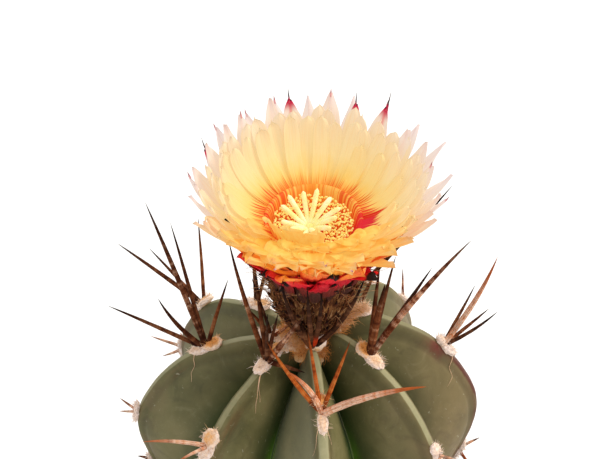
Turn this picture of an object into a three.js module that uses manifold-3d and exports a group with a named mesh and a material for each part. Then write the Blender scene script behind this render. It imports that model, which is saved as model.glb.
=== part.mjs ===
// A potted star-ribbed cactus in flower: eight deep ribs with woolly, spiny areoles along their crests, one
// large open bloom on the crown, gritty soil and a plain terracotta pot. Millimetres, +Z up. The origin is on
// the floor under the middle of the pot, and the plant is seen from -Y.
import * as THREE from 'three';
import { mergeVertices } from 'three/addons/utils/BufferGeometryUtils.js';
import Module from 'manifold-3d';

const wasm = await Module();
wasm.setup();

// Driving dimensions: the pot and its soil
const POT_RIM_RADIUS = 66;
const POT_HEIGHT = 104;
const POT_FOOT_RADIUS = 46;
const POT_WALL = 5.5;
const POT_FLOOR = 8;
const POT_COLLAR_HEIGHT = 25;
const POT_COLLAR_STEP = 3.4;
const POT_MOUTH_WIDENING = 3.2;
const POT_DRAIN_RADIUS = 7;
const POT_SIDES = 46;
const SOIL_BELOW_RIM = 8;
const SOIL_SIDES = 34;
const SOIL_GRIT = 1.1;
const SOIL_HOLE_CLEARANCE = 0.5;
const GAP = 0.3;

// Driving dimensions: the stem. Each station gives the crest's and the valley's radius and height over the
// equator, from the crown down to the root's tip.
const EQUATOR = 165;
const CREST = [
  [0, 25], [5.5, 26], [11, 33], [20, 33], [30, 29.5], [38, 25.5], [45, 19],
  [50.5, 11], [54, 3], [54.5, -5], [52.3, -14], [48, -24], [44, -35], [40.5, -46],
  [37, -58], [32.5, -69], [22, -80], [12, -92], [5, -107], [0, -112],
];
const VALLEY = [
  [0, 25], [4.6, 24.4], [7.5, 22], [12.5, 18.8], [18, 14.5], [22.5, 10.5], [27, 6],
  [30.5, 0.5], [33.2, -5], [35, -11], [36, -18], [35.5, -27], [34.5, -37], [33, -47.5],
  [31.5, -59], [29.5, -69], [21, -80], [12, -92], [5, -107], [0, -112],
];
const STATIONS = CREST.length - 1;
// The corded strip along each crest, the groove beside it, and how full the flanks are
const STRIP_HALF_WIDTH = 1.8;
const STRIP_WIDEST_SHARE = 0.3;
const STRIP_EDGE_DROP = 0.35;
const GROOVE_SHARE = 1.5;
const GROOVE_DROP = 0.6;
const DROP_LIMIT_SHARE = 0.1;
const FLANK_POWER = 1.12;
// Where the ribs start to stand unequally high, and how many stations on they differ most
const LIFT_FROM = 1;
const LIFT_STATIONS = 1.5;

// Each rib: its azimuth in degrees from the front, towards +X, at the crown and at the foot, how far its
// inner crest stands above or below the mean, and the stations of its areoles.
const RIBS = [
  { crown: 8, foot: 2, lift: 0, areoles: [1.9, 4.6, 8.5, 11.4] },
  { crown: 50, foot: 48, lift: 3.5, areoles: [3.45, 7.15, 10.4, 12.8] },
  { crown: 95, foot: 93, lift: 5, areoles: [2.45, 5.65, 10.7, 12.9] },
  { crown: 142, foot: 140, lift: 6, areoles: [4.05, 7.0, 9.8, 12.3] },
  { crown: 186, foot: 184, lift: -3, areoles: [2.8, 5.9, 8.9, 11.8] },
  { crown: 229, foot: 231, lift: -3, areoles: [3.15, 5.95, 8.9, 11.7] },
  { crown: 275, foot: 273, lift: -4, areoles: [2.0, 4.2, 8.15, 10.6, 12.9] },
  { crown: 321, foot: 320, lift: -2, areoles: [3.0, 6.3, 10.0, 12.5] },
];
// The azimuth of the valley after each rib
const VALLEYS = [27, 72.5, 118, 163, 207, 252, 298, 337.5];

// The stout spines, by rib and areole: length, heading from the front towards +X, rise over the level,
// radius at the root, and how far the middle bows up from the straight line. Areoles that aren't listed
// follow the rule in fanOfSpines.
const STOUT_SPINES = {
  '0-0': [[43, -26, 62, 1.1, -2], [44, -4, 62, 0.9, -2], [41, 8, 62, 0.9, -2], [43, 45, 61, 1.05, -2.2],
    [20, -19, 59, 1.2, -1]],
  '0-1': [[21, -74, 61, 1.05, 1.6], [26, -122, 45, 0.8, -1.2], [24, -158, 64, 0.8, 0], [23, 135, 60, 0.85, 0],
    [33, 82, 25, 1.25, 1.9]],
  '1-0': [[27, 169, 53, 0.9, 0], [26, 113, 80, 1.5, 0], [31, 160, 40, 0.8, 0], [34, 126, 45, 0.95, 0],
    [50, 105, 51, 1.15, 1.5]],
  '1-1': [[8, 60, 10, 0.6, 0], [6, 30, -10, 0.5, 0]],
  '2-0': [[12, 140, 48, 0.8, 0]],
  '2-1': [[34, 109, 61, 1.05, -1.5], [21, 128, 55, 0.7, 0], [18, 123, 23, 0.7, 0], [21, 86, 42, 0.7, -1]],
  '3-0': [[42, 102, 51, 0.8, 0], [18, 160, 60, 0.7, 0], [20, -160, 50, 0.7, 0]],
  '3-1': [[10, 180, 53, 0.45, 0], [8, 140, 20, 0.45, 0]],
  '5-0': [[22, -170, 70, 0.8, 0], [18, 150, 60, 0.7, 0]],
  '5-1': [[28, -173, 63, 0.7, 0], [35, -113, 26, 0.85, 0.5], [27, -134, 21, 0.7, 0]],
  '6-0': [[15, -62, 60, 0.7, 0], [13, 40, 50, 0.7, 0], [24, -75, 76, 0.6, 0]],
  '6-1': [[51, -124, 66, 1.05, 0], [41, -143, 65, 0.85, 0], [32, -98, 24, 0.8, 0], [24, -85, 56, 0.9, -1.5],
    [22, 140, 63, 0.8, 0.5]],
  '6-2': [[5, -80, 10, 0.5, 0], [6, -110, 30, 0.5, 0]],
  '7-0': [[41, -132, 69, 0.95, -1], [32, -159, 71, 0.9, 0], [27, 5, 71, 0.7, 0], [26, 25, 71, 0.8, 0],
    [29, 50, 60, 1.1, 0], [14, 53, 11, 0.9, 0]],
  '7-1': [[20, -76, 17, 0.75, 1], [14, -39, 15, 0.6, 0.5]],
};
const SPINE_ROOT_SUNK = 1.2;
const SPINE_ROOT_SPREAD = { across: 1.1, along: 1.8, raised: 1 };
const SPINE_REACH_LIMIT = 64.5;
const CUSHION = { across: 2.9, along: 4.2, height: 2.1, raised: 0.7 };
// Down a rib the areoles are older, smaller and less spiny
const YOUNG_STATIONS = 7;
const OLD_STATIONS = 10;
const OLD_CUSHION = 0.72;
const FAN = { across: 0.85, along: 0.75, longest: 34, shortest: 9 };

// Driving dimensions: the flower, about its own axis, from its foot on the crown
const FLOWER_FOOT = [1.5, 0, 190.2];
const FLOWER_TILT = 10;
const TUBE = [
  [0, 2.2], [3.6, 2.2], [5.2, 6], [7.2, 10.5], [9.8, 15.5], [11.8, 20], [13.1, 26],
  [13.6, 33], [13.4, 40], [12.6, 43.6], [0, 43.6],
];
const TUBE_SIDES = 16;
const CUP = [
  [0, 43.9], [10, 43.9], [13.2, 48.6], [14.4, 53.6], [14.6, 57],
  [13, 57], [12.4, 52.8], [10.4, 48.6], [8, 46.2], [0, 46.2],
];
const CUP_SIDES = 20;
const WHORLS = [
  { count: 12, root: [13.6, 55.5], bend: [15.5, 66], tip: [25.5, 74], width: 9, point: 0.5 },
  { count: 12, root: [13.6, 53.2], bend: [19.5, 65], tip: [31.5, 74], width: 9, point: 0.45 },
  { count: 12, root: [13.1, 50.8], bend: [21.5, 63], tip: [35.5, 73], width: 8.4, point: 0.2 },
  { count: 12, root: [12.4, 48.4], bend: [24, 59.5], tip: [37.6, 71.8], width: 5.6, point: 0.1 },
];
const PETAL_THICKNESS = 0.66;
const PETAL_WIDEST_AT = 0.66;
const PETAL_CUPPING = 0.25;
const SCALE_ROWS = [[9, 7], [15, 8], [22, 9]];
const SCALE_LENGTH = 7;
const SCALE_RADIUS = 1.15;
const SCALE_LEAN = 0.55;
const SCALE_ROOT_SUNK = 1.1;
const RED_SCALES = [
  { count: 10, root: [13, 32.5], bend: [15.6, 36], tip: [17.2, 42], width: 4.4, point: 0.1 },
  { count: 11, root: [12.9, 39], bend: [17.4, 43.5], tip: [20.5, 50.5], width: 4.6, point: 0.1 },
];
const STAMEN_RING = [
  [4.5, 46.5], [7.7, 46.5], [10, 49.2], [11.7, 52.6], [12, 55],
  [11.2, 56.4], [9.4, 55.4], [6.8, 51.8], [4.5, 46.5],
];
const STAMEN_SIDES = 14;
const ANTHERS = 36;
const ANTHER_RADIUS = 0.85;
const ANTHER_BAND = { inner: 7.6, outer: 11.4, low: 53.5, high: 57 };
const STYLE = [[0, 46.5], [1.9, 46.5], [1.3, 49.6], [1.3, 55], [2.4, 57.4], [0, 57.4]];
const STIGMA_HEIGHT = 56.4;
const STIGMA_LOBES = 12;
const STIGMA_REACH = 7.6;

// The wool packed round the foot of the flower
const CROWN_WOOL = { radius: 8.2, uneven: 1.2, halfHeight: 6.5, raised: 2 };

const RADIANS = Math.PI / 180;
const GOLDEN_TURN = 137.5 * RADIANS;
// The axis that cylinders are turned about
const LATHE_AXIS = new THREE.Vector3(0, 1, 0);

// A repeatable random number from 0 to 1 for each seed
function noise(seed) {
  const wave = Math.sin(seed * 12.9898) * 43758.5453;
  return wave - Math.floor(wave);
}

function material(color, roughness) {
  return new THREE.MeshStandardMaterial({ color, roughness, metalness: 0 });
}

// Solids: a closed geometry's shared corners are merged and its faces turned outward

function signedVolume(geometry) {
  const corner = geometry.attributes.position;
  const [a, b, c] = [new THREE.Vector3(), new THREE.Vector3(), new THREE.Vector3()];
  let volume = 0;
  for (let i = 0; i < geometry.index.count; i += 3) {
    a.fromBufferAttribute(corner, geometry.index.getX(i));
    b.fromBufferAttribute(corner, geometry.index.getX(i + 1));
    c.fromBufferAttribute(corner, geometry.index.getX(i + 2));
    volume += a.dot(b.cross(c)) / 6;
  }
  return volume;
}

function closed(geometry) {
  geometry.deleteAttribute('normal');
  geometry.deleteAttribute('uv');
  const merged = mergeVertices(geometry, 1e-4);
  const index = merged.index.array;
  const kept = [];
  for (let i = 0; i < index.length; i += 3) {
    const [a, b, c] = [index[i], index[i + 1], index[i + 2]];
    if (a !== b && b !== c && c !== a) kept.push(a, b, c);
  }
  merged.setIndex(kept);
  if (signedVolume(merged) < 0) merged.setIndex(kept.reverse());
  return merged;
}

function solid(geometry) {
  const shape = closed(geometry);
  return new wasm.Manifold(new wasm.Mesh({
    numProp: 3,
    vertProperties: Float32Array.from(shape.attributes.position.array),
    triVerts: Uint32Array.from(shape.index.array),
  }));
}

function join(solids) {
  return wasm.Manifold.union(solids);
}

// What a cut leaves loose beside the main body is dropped
function largestBody(shape) {
  const bodies = shape.decompose();
  bodies.sort((one, other) => other.volume() - one.volume());
  return bodies[0];
}

function named(name, shape, look) {
  const { vertProperties, triVerts } = shape.getMesh();
  const geometry = new THREE.BufferGeometry();
  geometry.setAttribute('position', new THREE.BufferAttribute(Float32Array.from(vertProperties), 3));
  geometry.setIndex(Array.from(triVerts));
  geometry.computeVertexNormals();
  const mesh = new THREE.Mesh(geometry, look);
  mesh.name = name;
  return mesh;
}

// A turned solid stands on the XY plane: the lathe's own axis is Y
function turned(profile, sides, swell = 0) {
  const points = profile.map(([r, z]) => new THREE.Vector2(r > 0 ? r + swell : 0, z));
  return new THREE.LatheGeometry(points, sides).rotateX(Math.PI / 2);
}

// A leaf-like blade: a flat grid for its two faces, split alike, and a rim that closes them.
// place(u, v, side) gives a point, with u from -1 to 1 across, v from 0 to 1 along, and side -1 or 1.
function blade(columns, rows, place) {
  const sheet = new THREE.PlaneGeometry(2, 1, columns, rows);
  const grid = sheet.attributes.position;
  const corners = grid.count;
  const points = [];
  for (const side of [1, -1]) {
    for (let i = 0; i < corners; i += 1) {
      points.push(...place(grid.getX(i), grid.getY(i) + 0.5, side).toArray());
    }
  }
  const faces = [];
  const front = sheet.index.array;
  for (let i = 0; i < front.length; i += 3) {
    const [a, b, c] = [front[i], front[i + 1], front[i + 2]];
    faces.push(a, b, c, a + corners, c + corners, b + corners);
  }
  const rim = [];
  for (let i = 0; i < columns; i += 1) rim.push(i);
  for (let j = 0; j < rows; j += 1) rim.push(j * (columns + 1) + columns);
  for (let i = columns; i > 0; i -= 1) rim.push(rows * (columns + 1) + i);
  for (let j = rows; j > 0; j -= 1) rim.push(j * (columns + 1));
  rim.forEach((here, i) => {
    const next = rim[(i + 1) % rim.length];
    faces.push(here, next, here + corners, next, next + corners, here + corners);
  });
  const geometry = new THREE.BufferGeometry();
  geometry.setAttribute('position', new THREE.Float32BufferAttribute(points, 3));
  geometry.setIndex(faces);
  return solid(geometry);
}

// The pot: thrown terracotta with a collar round the rim and a drain hole

const collarFoot = POT_HEIGHT - POT_COLLAR_HEIGHT;
const topWallRadius = POT_RIM_RADIUS - POT_COLLAR_STEP - 1;
const potWallAt = (z) => THREE.MathUtils.lerp(POT_FOOT_RADIUS, topWallRadius, z / POT_HEIGHT);
const potInsideAt = (z) => potWallAt(z) - POT_WALL + POT_MOUTH_WIDENING * (z / POT_HEIGHT);

function pot() {
  const edge = 1.2;
  const profile = [
    [POT_DRAIN_RADIUS, 0],
    [POT_FOOT_RADIUS - edge, 0],
    [POT_FOOT_RADIUS, edge],
    [potWallAt(collarFoot), collarFoot],
    [POT_RIM_RADIUS - 2.8, collarFoot],
    [POT_RIM_RADIUS - 1.9, collarFoot + edge],
    [POT_RIM_RADIUS, POT_HEIGHT - 1.6],
    [POT_RIM_RADIUS - edge, POT_HEIGHT],
    [potInsideAt(POT_HEIGHT) + 1, POT_HEIGHT],
    [potInsideAt(POT_HEIGHT), POT_HEIGHT - 1],
    [potInsideAt(POT_FLOOR), POT_FLOOR + 2],
    [potInsideAt(POT_FLOOR) - 2, POT_FLOOR],
    [POT_DRAIN_RADIUS, POT_FLOOR],
    [POT_DRAIN_RADIUS, 0],
  ];
  return named('pot', solid(turned(profile, POT_SIDES)), material(0xb5673f, 0.85));
}

// The soil fills the pot, with a plain hole for the foot of the stem and an uneven gritty top

function soil() {
  const top = POT_HEIGHT - SOIL_BELOW_RIM;
  const hole = CREST.slice(STATIONS - 3, STATIONS).map(([r, z]) => [r + SOIL_HOLE_CLEARANCE, EQUATOR + z]);
  hole.push([0, EQUATOR + CREST[STATIONS][1] - 2 * GAP]);
  const neck = CREST[STATIONS - 4][0] + SOIL_HOLE_CLEARANCE;
  const outside = (z) => potInsideAt(z) - SOIL_HOLE_CLEARANCE;
  const profile = [
    ...hole.reverse(),
    [neck, top],
    [39, top + 0.8],
    [46, top + 0.2],
    [outside(top) - 4, top + 0.4],
    [outside(top), top - 1],
    [outside(POT_FLOOR), POT_FLOOR + 2 + GAP],
    [outside(POT_FLOOR) - 2, POT_FLOOR + GAP],
    [0, POT_FLOOR + GAP],
  ];
  const geometry = closed(turned(profile, SOIL_SIDES));
  const corner = geometry.attributes.position;
  for (let i = 0; i < corner.count; i += 1) {
    const reach = Math.hypot(corner.getX(i), corner.getY(i));
    const onTop = corner.getZ(i) > top - 0.6 && reach > neck + 1;
    if (onTop) corner.setZ(i, corner.getZ(i) + SOIL_GRIT * (2 * noise(i) - 1));
  }
  return named('soil', solid(geometry), material(0x4a3a2c, 0.95));
}

// The stem: crest and valley outlines, with flanks between them and a corded strip along each crest

const crestCurve = new THREE.SplineCurve(CREST.map(([r, z]) => new THREE.Vector2(r, z)));
const valleyCurve = new THREE.SplineCurve(VALLEY.map(([r, z]) => new THREE.Vector2(r, z)));

// The inner crests of the ribs don't stand equally high round the crown, and lower down the ribs are alike
function liftAt(lift, station) {
  const way = Math.max(0, station - LIFT_FROM) / LIFT_STATIONS;
  return lift * way * Math.exp(1 - way) * (1 - station / STATIONS);
}

function ribAzimuth(rib, station) {
  return THREE.MathUtils.lerp(RIBS[rib].crown, RIBS[rib].foot, station / STATIONS);
}

function crestOutline(rib, station) {
  const spot = crestCurve.getPoint(station / STATIONS);
  return new THREE.Vector2(spot.x, EQUATOR + spot.y + liftAt(RIBS[rib].lift, station));
}

function valleyOutline(rib, side, station) {
  const neighbour = RIBS[(rib + side + RIBS.length) % RIBS.length];
  const spot = valleyCurve.getPoint(station / STATIONS);
  const lift = (RIBS[rib].lift + neighbour.lift) / 2;
  return new THREE.Vector2(spot.x, EQUATOR + spot.y + liftAt(lift, station));
}

// side is 1 or -1, and step goes from 0, the middle of the crest, to 5, the valley
function stemSpot(rib, side, step, station) {
  const crest = crestOutline(rib, station);
  const valley = valleyOutline(rib, side, station);
  const here = ribAzimuth(rib, station);
  const valleyIndex = side > 0 ? rib : (rib + RIBS.length - 1) % RIBS.length;
  let there = VALLEYS[valleyIndex];
  if (side < 0 && there > here) there -= 360;
  const half = Math.abs(there - here);
  const strip = Math.min(STRIP_WIDEST_SHARE, STRIP_HALF_WIDTH / Math.max(crest.x, 1) / RADIANS / half);
  const groove = strip * GROOVE_SHARE;
  const across = step < 2 ? strip * step : THREE.MathUtils.lerp(groove, 1, (step - 2) / 3);
  const deep = crest.distanceTo(valley);
  const drop = Math.min(DROP_LIMIT_SHARE * deep, [0, STRIP_EDGE_DROP, GROOVE_DROP, 0, 0, 0][step]);
  const fall = (step < 2 ? 0 : across ** FLANK_POWER) + (deep > 0 ? drop / deep : 0);
  const r = THREE.MathUtils.lerp(crest.x, valley.x, fall);
  const z = THREE.MathUtils.lerp(crest.y, valley.y, fall);
  const turn = (here + (there - here) * across) * RADIANS;
  return new THREE.Vector3(r * Math.sin(turn), -r * Math.cos(turn), z);
}

// around lists the steps over one rib's width: 0 is its crest, 5 and -5 are its valleys
const FULL_RIB = [0, 1, 2, 3, 4, 5, -4, -3, -2, -1];
const PLAIN_RIB = [0, 1, 5, -1];

function stemShape(around, clearance) {
  const columns = RIBS.length * around.length;
  const geometry = new THREE.SphereGeometry(1, columns, STATIONS);
  const { position, uv } = geometry.attributes;
  for (let i = 0; i < position.count; i += 1) {
    const station = Math.round((1 - uv.getY(i)) * STATIONS);
    const column = Math.round(uv.getX(i) * columns + columns) % columns;
    const step = around[column % around.length];
    const rib = (Math.floor(column / around.length) + (step < 0 ? 1 : 0)) % RIBS.length;
    position.setXYZ(i, ...stemSpot(rib, step < 0 ? -1 : 1, Math.abs(step), station).toArray());
  }
  const shape = closed(geometry);
  shape.computeVertexNormals();
  const corner = shape.attributes.position;
  const out = shape.attributes.normal;
  for (let i = 0; i < corner.count; i += 1) {
    corner.setXYZ(
      i,
      corner.getX(i) + clearance * out.getX(i),
      corner.getY(i) + clearance * out.getY(i),
      corner.getZ(i) + clearance * out.getZ(i),
    );
  }
  return solid(shape);
}

// The areoles: a wool cushion astride the crest, with the spines that grow out of it

function areoleFrame(rib, station) {
  const turn = ribAzimuth(rib, station) * RADIANS;
  const radial = new THREE.Vector3(Math.sin(turn), -Math.cos(turn), 0);
  const sideways = new THREE.Vector3(Math.cos(turn), Math.sin(turn), 0);
  const spot = crestOutline(rib, station);
  const step = crestOutline(rib, station + 0.2).sub(crestOutline(rib, station - 0.2)).normalize();
  const along = radial.clone().multiplyScalar(step.x).setZ(step.y);
  const outward = along.clone().cross(sideways);
  const place = radial.clone().multiplyScalar(spot.x).setZ(spot.y);
  return { place, sideways, along, outward };
}

function cushion(frame, size) {
  const geometry = new THREE.SphereGeometry(1, size < 1 ? 6 : 7, 4);
  geometry.scale(CUSHION.across * size, CUSHION.along * size, CUSHION.height * size);
  const basis = new THREE.Matrix4().makeBasis(frame.sideways, frame.along, frame.outward);
  basis.setPosition(frame.place.clone().addScaledVector(frame.outward, CUSHION.raised));
  return solid(geometry.applyMatrix4(basis));
}

function direction(heading, rise) {
  const [turn, lift] = [heading * RADIANS, rise * RADIANS];
  return new THREE.Vector3(Math.sin(turn) * Math.cos(lift), -Math.cos(turn) * Math.cos(lift), Math.sin(lift));
}

// A spine is a slender cone, bent along its bow
function spine(root, aim, length, radius, bow, sides, steps) {
  const geometry = new THREE.ConeGeometry(radius, length, sides, steps);
  const lean = new THREE.Vector3(0, 0, 1).cross(aim).normalize();
  const over = aim.clone().cross(lean);
  const { position } = geometry.attributes;
  for (let i = 0; i < position.count; i += 1) {
    const t = position.getY(i) / length + 0.5;
    const full = t < 1 ? (1 - t) ** -0.4 : 1;
    const spot = root.clone().addScaledVector(aim, t * length);
    spot.addScaledVector(over, bow * 4 * t * (1 - t) + position.getZ(i) * full);
    spot.addScaledVector(lean, position.getX(i) * full);
    position.setXYZ(i, ...spot.toArray());
  }
  return solid(geometry);
}

// Areoles away from the side that is seen: a few spines fan out, shorter towards the foot of the plant
function fanOfSpines(frame, rib, areole, station) {
  const young = station < YOUNG_STATIONS;
  const old = station > OLD_STATIONS;
  const count = young ? 4 : old ? 2 : 3;
  const spines = [];
  for (let i = 0; i < count; i += 1) {
    const seed = 100 * rib + 10 * areole + i + 1;
    const turn = (2 * Math.PI * (i + 0.5 * noise(seed))) / count;
    const aim = frame.outward.clone();
    aim.addScaledVector(frame.sideways, FAN.across * Math.sin(turn));
    aim.addScaledVector(frame.along, -FAN.along * Math.cos(turn)).normalize();
    const longest = THREE.MathUtils.mapLinear(Math.min(station, 8), 2, 8, FAN.longest, FAN.shortest);
    const length = longest * (0.7 + 0.5 * noise(seed + 50));
    spines.push({ aim, length, radius: young ? 0.8 : 0.6, bow: noise(seed + 70) - 0.5 });
  }
  return spines;
}

function stoutSpines(rows) {
  return rows.map(([length, heading, rise, radius, bow]) => {
    const aim = direction(heading, rise);
    return { aim, length, radius, bow };
  });
}

function areole(rib, areole, station, room) {
  const frame = areoleFrame(rib, station);
  const rows = STOUT_SPINES[`${rib}-${areole}`];
  const spines = rows ? stoutSpines(rows) : fanOfSpines(frame, rib, areole, station);
  const solids = [cushion(frame, station < YOUNG_STATIONS ? 1 : OLD_CUSHION)];
  for (const { aim, length, radius, bow } of spines) {
    const root = frame.place.clone().addScaledVector(frame.outward, SPINE_ROOT_SPREAD.raised);
    root.addScaledVector(frame.sideways, SPINE_ROOT_SPREAD.across * aim.dot(frame.sideways));
    root.addScaledVector(frame.along, SPINE_ROOT_SPREAD.along * aim.dot(frame.along));
    root.addScaledVector(aim, -SPINE_ROOT_SUNK);
    const tip = root.clone().addScaledVector(aim, length);
    const over = Math.hypot(tip.x, tip.y) - SPINE_REACH_LIMIT;
    const spread = Math.hypot(aim.x, aim.y);
    const fitted = over > 0 ? length - over / spread : length;
    const sides = radius > 0.75 ? 4 : 3;
    solids.push(spine(root, aim, fitted + SPINE_ROOT_SUNK, radius, bow, sides, fitted > 12 ? 3 : 2));
  }
  const name = `areole_rib_${rib + 1}_${areole + 1}`;
  return named(name, largestBody(join(solids).subtract(room)), material(0xc9a27c, 0.9));
}

// The flower, modelled upright about its own axis

// A petal or scale follows a bent line in the plane of its azimuth, widest past its middle
function petal(row, turn, seed, columns, rows) {
  const spread = 2 * noise(seed) - 1;
  const rise = 2 * noise(seed + 31) - 1;
  const line = new THREE.QuadraticBezierCurve(
    new THREE.Vector2(...row.root),
    new THREE.Vector2(...row.bend),
    new THREE.Vector2(row.tip[0] + spread, row.tip[1] + rise),
  );
  const radial = new THREE.Vector3(Math.sin(turn), -Math.cos(turn), 0);
  const sideways = new THREE.Vector3(Math.cos(turn), Math.sin(turn), 0);
  return blade(columns, rows, (u, v, side) => {
    const t = v ** 0.8;
    const spot = line.getPoint(t);
    const run = line.getTangent(t);
    const belly = 0.5 + 0.5 * Math.sin(Math.min(1, t / PETAL_WIDEST_AT) * Math.PI / 2);
    const past = Math.max(0, (t - PETAL_WIDEST_AT) / (1 - PETAL_WIDEST_AT));
    const half = row.width / 2 * belly * (1 - (1 - row.point) * past ** 2.2);
    const raised = PETAL_CUPPING * half * u * u + side * PETAL_THICKNESS / 2;
    const point = radial.clone().multiplyScalar(spot.x - run.y * raised);
    point.z = spot.y + run.x * raised;
    return point.addScaledVector(sideways, u * half);
  });
}

function petals() {
  const solids = [solid(turned(CUP, CUP_SIDES))];
  WHORLS.forEach((row, whorl) => {
    for (let i = 0; i < row.count; i += 1) {
      const seed = 300 + 20 * whorl + i;
      const turn = (2 * Math.PI * (i + 0.5 * whorl + 0.25 * (noise(seed + 7) - 0.5))) / row.count;
      solids.push(petal(row, turn, seed, 2, 3));
    }
  });
  return join(solids);
}

function tubeRadiusAt(height) {
  const above = TUBE.findIndex(([, h]) => h > height);
  const [[lowerRadius, lowerHeight], [upperRadius, upperHeight]] = [TUBE[above - 1], TUBE[above]];
  return THREE.MathUtils.mapLinear(height, lowerHeight, upperHeight, lowerRadius, upperRadius);
}

// Slender scales stand round the lower tube, and broad red ones round its top
function tube() {
  const solids = [solid(turned(TUBE, TUBE_SIDES))];
  SCALE_ROWS.forEach(([height, count], row) => {
    for (let i = 0; i < count; i += 1) {
      const turn = (2 * Math.PI * (i + 0.5 * row)) / count;
      const aim = new THREE.Vector3(Math.sin(turn) * SCALE_LEAN, -Math.cos(turn) * SCALE_LEAN, 1).normalize();
      const reach = tubeRadiusAt(height) - SCALE_ROOT_SUNK;
      const root = new THREE.Vector3(reach * Math.sin(turn), -reach * Math.cos(turn), height);
      solids.push(spine(root, aim, SCALE_LENGTH, SCALE_RADIUS, 0, 3, 1));
    }
  });
  RED_SCALES.forEach((row, ring) => {
    for (let i = 0; i < row.count; i += 1) {
      const turn = (2 * Math.PI * (i + 0.5 * ring)) / row.count;
      solids.push(petal(row, turn, 500 + 20 * ring + i, 1, 2));
    }
  });
  return join(solids);
}

// Filaments crowd into one ring, and anthers stand out of its inner slope and top
function stamens() {
  const solids = [solid(turned(STAMEN_RING, STAMEN_SIDES))];
  for (let i = 0; i < ANTHERS; i += 1) {
    const outwards = (i + 0.5) / ANTHERS;
    const r = THREE.MathUtils.lerp(ANTHER_BAND.inner, ANTHER_BAND.outer, outwards);
    const h = THREE.MathUtils.lerp(ANTHER_BAND.low, ANTHER_BAND.high, Math.min(1, outwards * 1.6));
    const anther = new THREE.OctahedronGeometry(ANTHER_RADIUS);
    anther.scale(1, 1, 1.5).translate(r, 0, h).rotateZ(i * GOLDEN_TURN);
    solids.push(solid(anther));
  }
  return largestBody(join(solids));
}

function pistil() {
  const solids = [solid(turned(STYLE, 8))];
  for (let i = 0; i < STIGMA_LOBES; i += 1) {
    const turn = (2 * Math.PI * i) / STIGMA_LOBES;
    const aim = direction(turn / RADIANS, 19 + 6 * noise(700 + i));
    const length = STIGMA_REACH + noise(720 + i);
    const lobe = new THREE.CylinderGeometry(0.65, 0.85, length, 5);
    const heading = new THREE.Quaternion().setFromUnitVectors(LATHE_AXIS, aim);
    lobe.translate(0, length / 2 + 1, 0).applyQuaternion(heading).translate(0, 0, STIGMA_HEIGHT);
    solids.push(solid(lobe));
  }
  return join(solids);
}

// The crown: tan wool packed round the foot of the flower
function crownWool(room) {
  const geometry = closed(new THREE.SphereGeometry(1, 12, 6));
  const corner = geometry.attributes.position;
  for (let i = 0; i < corner.count; i += 1) {
    const swell = CROWN_WOOL.radius + CROWN_WOOL.uneven * noise(800 + i);
    const [x, y, z] = [corner.getX(i), corner.getY(i), corner.getZ(i)];
    corner.setXYZ(
      i,
      x * swell + FLOWER_FOOT[0],
      y * swell + FLOWER_FOOT[1],
      z * CROWN_WOOL.halfHeight + FLOWER_FOOT[2] + CROWN_WOOL.raised,
    );
  }
  return largestBody(solid(geometry).subtract(room));
}

// The plant and its pot are put together

const potted = new THREE.Group();
const stem = stemShape(FULL_RIB, 0);
potted.add(pot(), soil(), named('stem', stem, material(0x6f6f45, 0.6)));

const flower = new THREE.Group();
flower.position.set(...FLOWER_FOOT);
flower.rotation.x = FLOWER_TILT * RADIANS;
flower.updateMatrix();
flower.add(
  named('flower_tube', tube(), material(0x9a4a3a, 0.85)),
  named('petals', petals(), material(0xf6c56c, 0.6)),
  named('stamens', stamens(), material(0xf0b43c, 0.7)),
  named('pistil', pistil(), material(0xf6efae, 0.6)),
);
potted.add(flower);

// What stands on the stem is cut clear of a plainer stem that holds all of it, and of the flower's foot
const stemRoom = stemShape(PLAIN_RIB, GAP);
const tubeRoom = solid(turned(TUBE, TUBE_SIDES, GAP)).transform(flower.matrix.toArray());
const areoleRoom = stemRoom.add(tubeRoom);
RIBS.forEach(({ areoles }, rib) => {
  areoles.forEach((station, i) => potted.add(areole(rib, i, station, areoleRoom)));
});
const innermost = cushion(areoleFrame(0, RIBS[0].areoles[0]), 1.1);
const crownRoom = join([stemRoom, stemRoom.translate([0, 0, 4 * GAP]), tubeRoom, innermost]);
potted.add(named('crown_wool', crownWool(crownRoom), material(0xc98f55, 0.95)));

export default potted;
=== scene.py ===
import random
from math import atan2, cos, degrees, dist, exp, floor, hypot, pi, radians, sin, sqrt

import bmesh
import bpy
from mathutils import Matrix, Vector
from mathutils import noise as cloud


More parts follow.
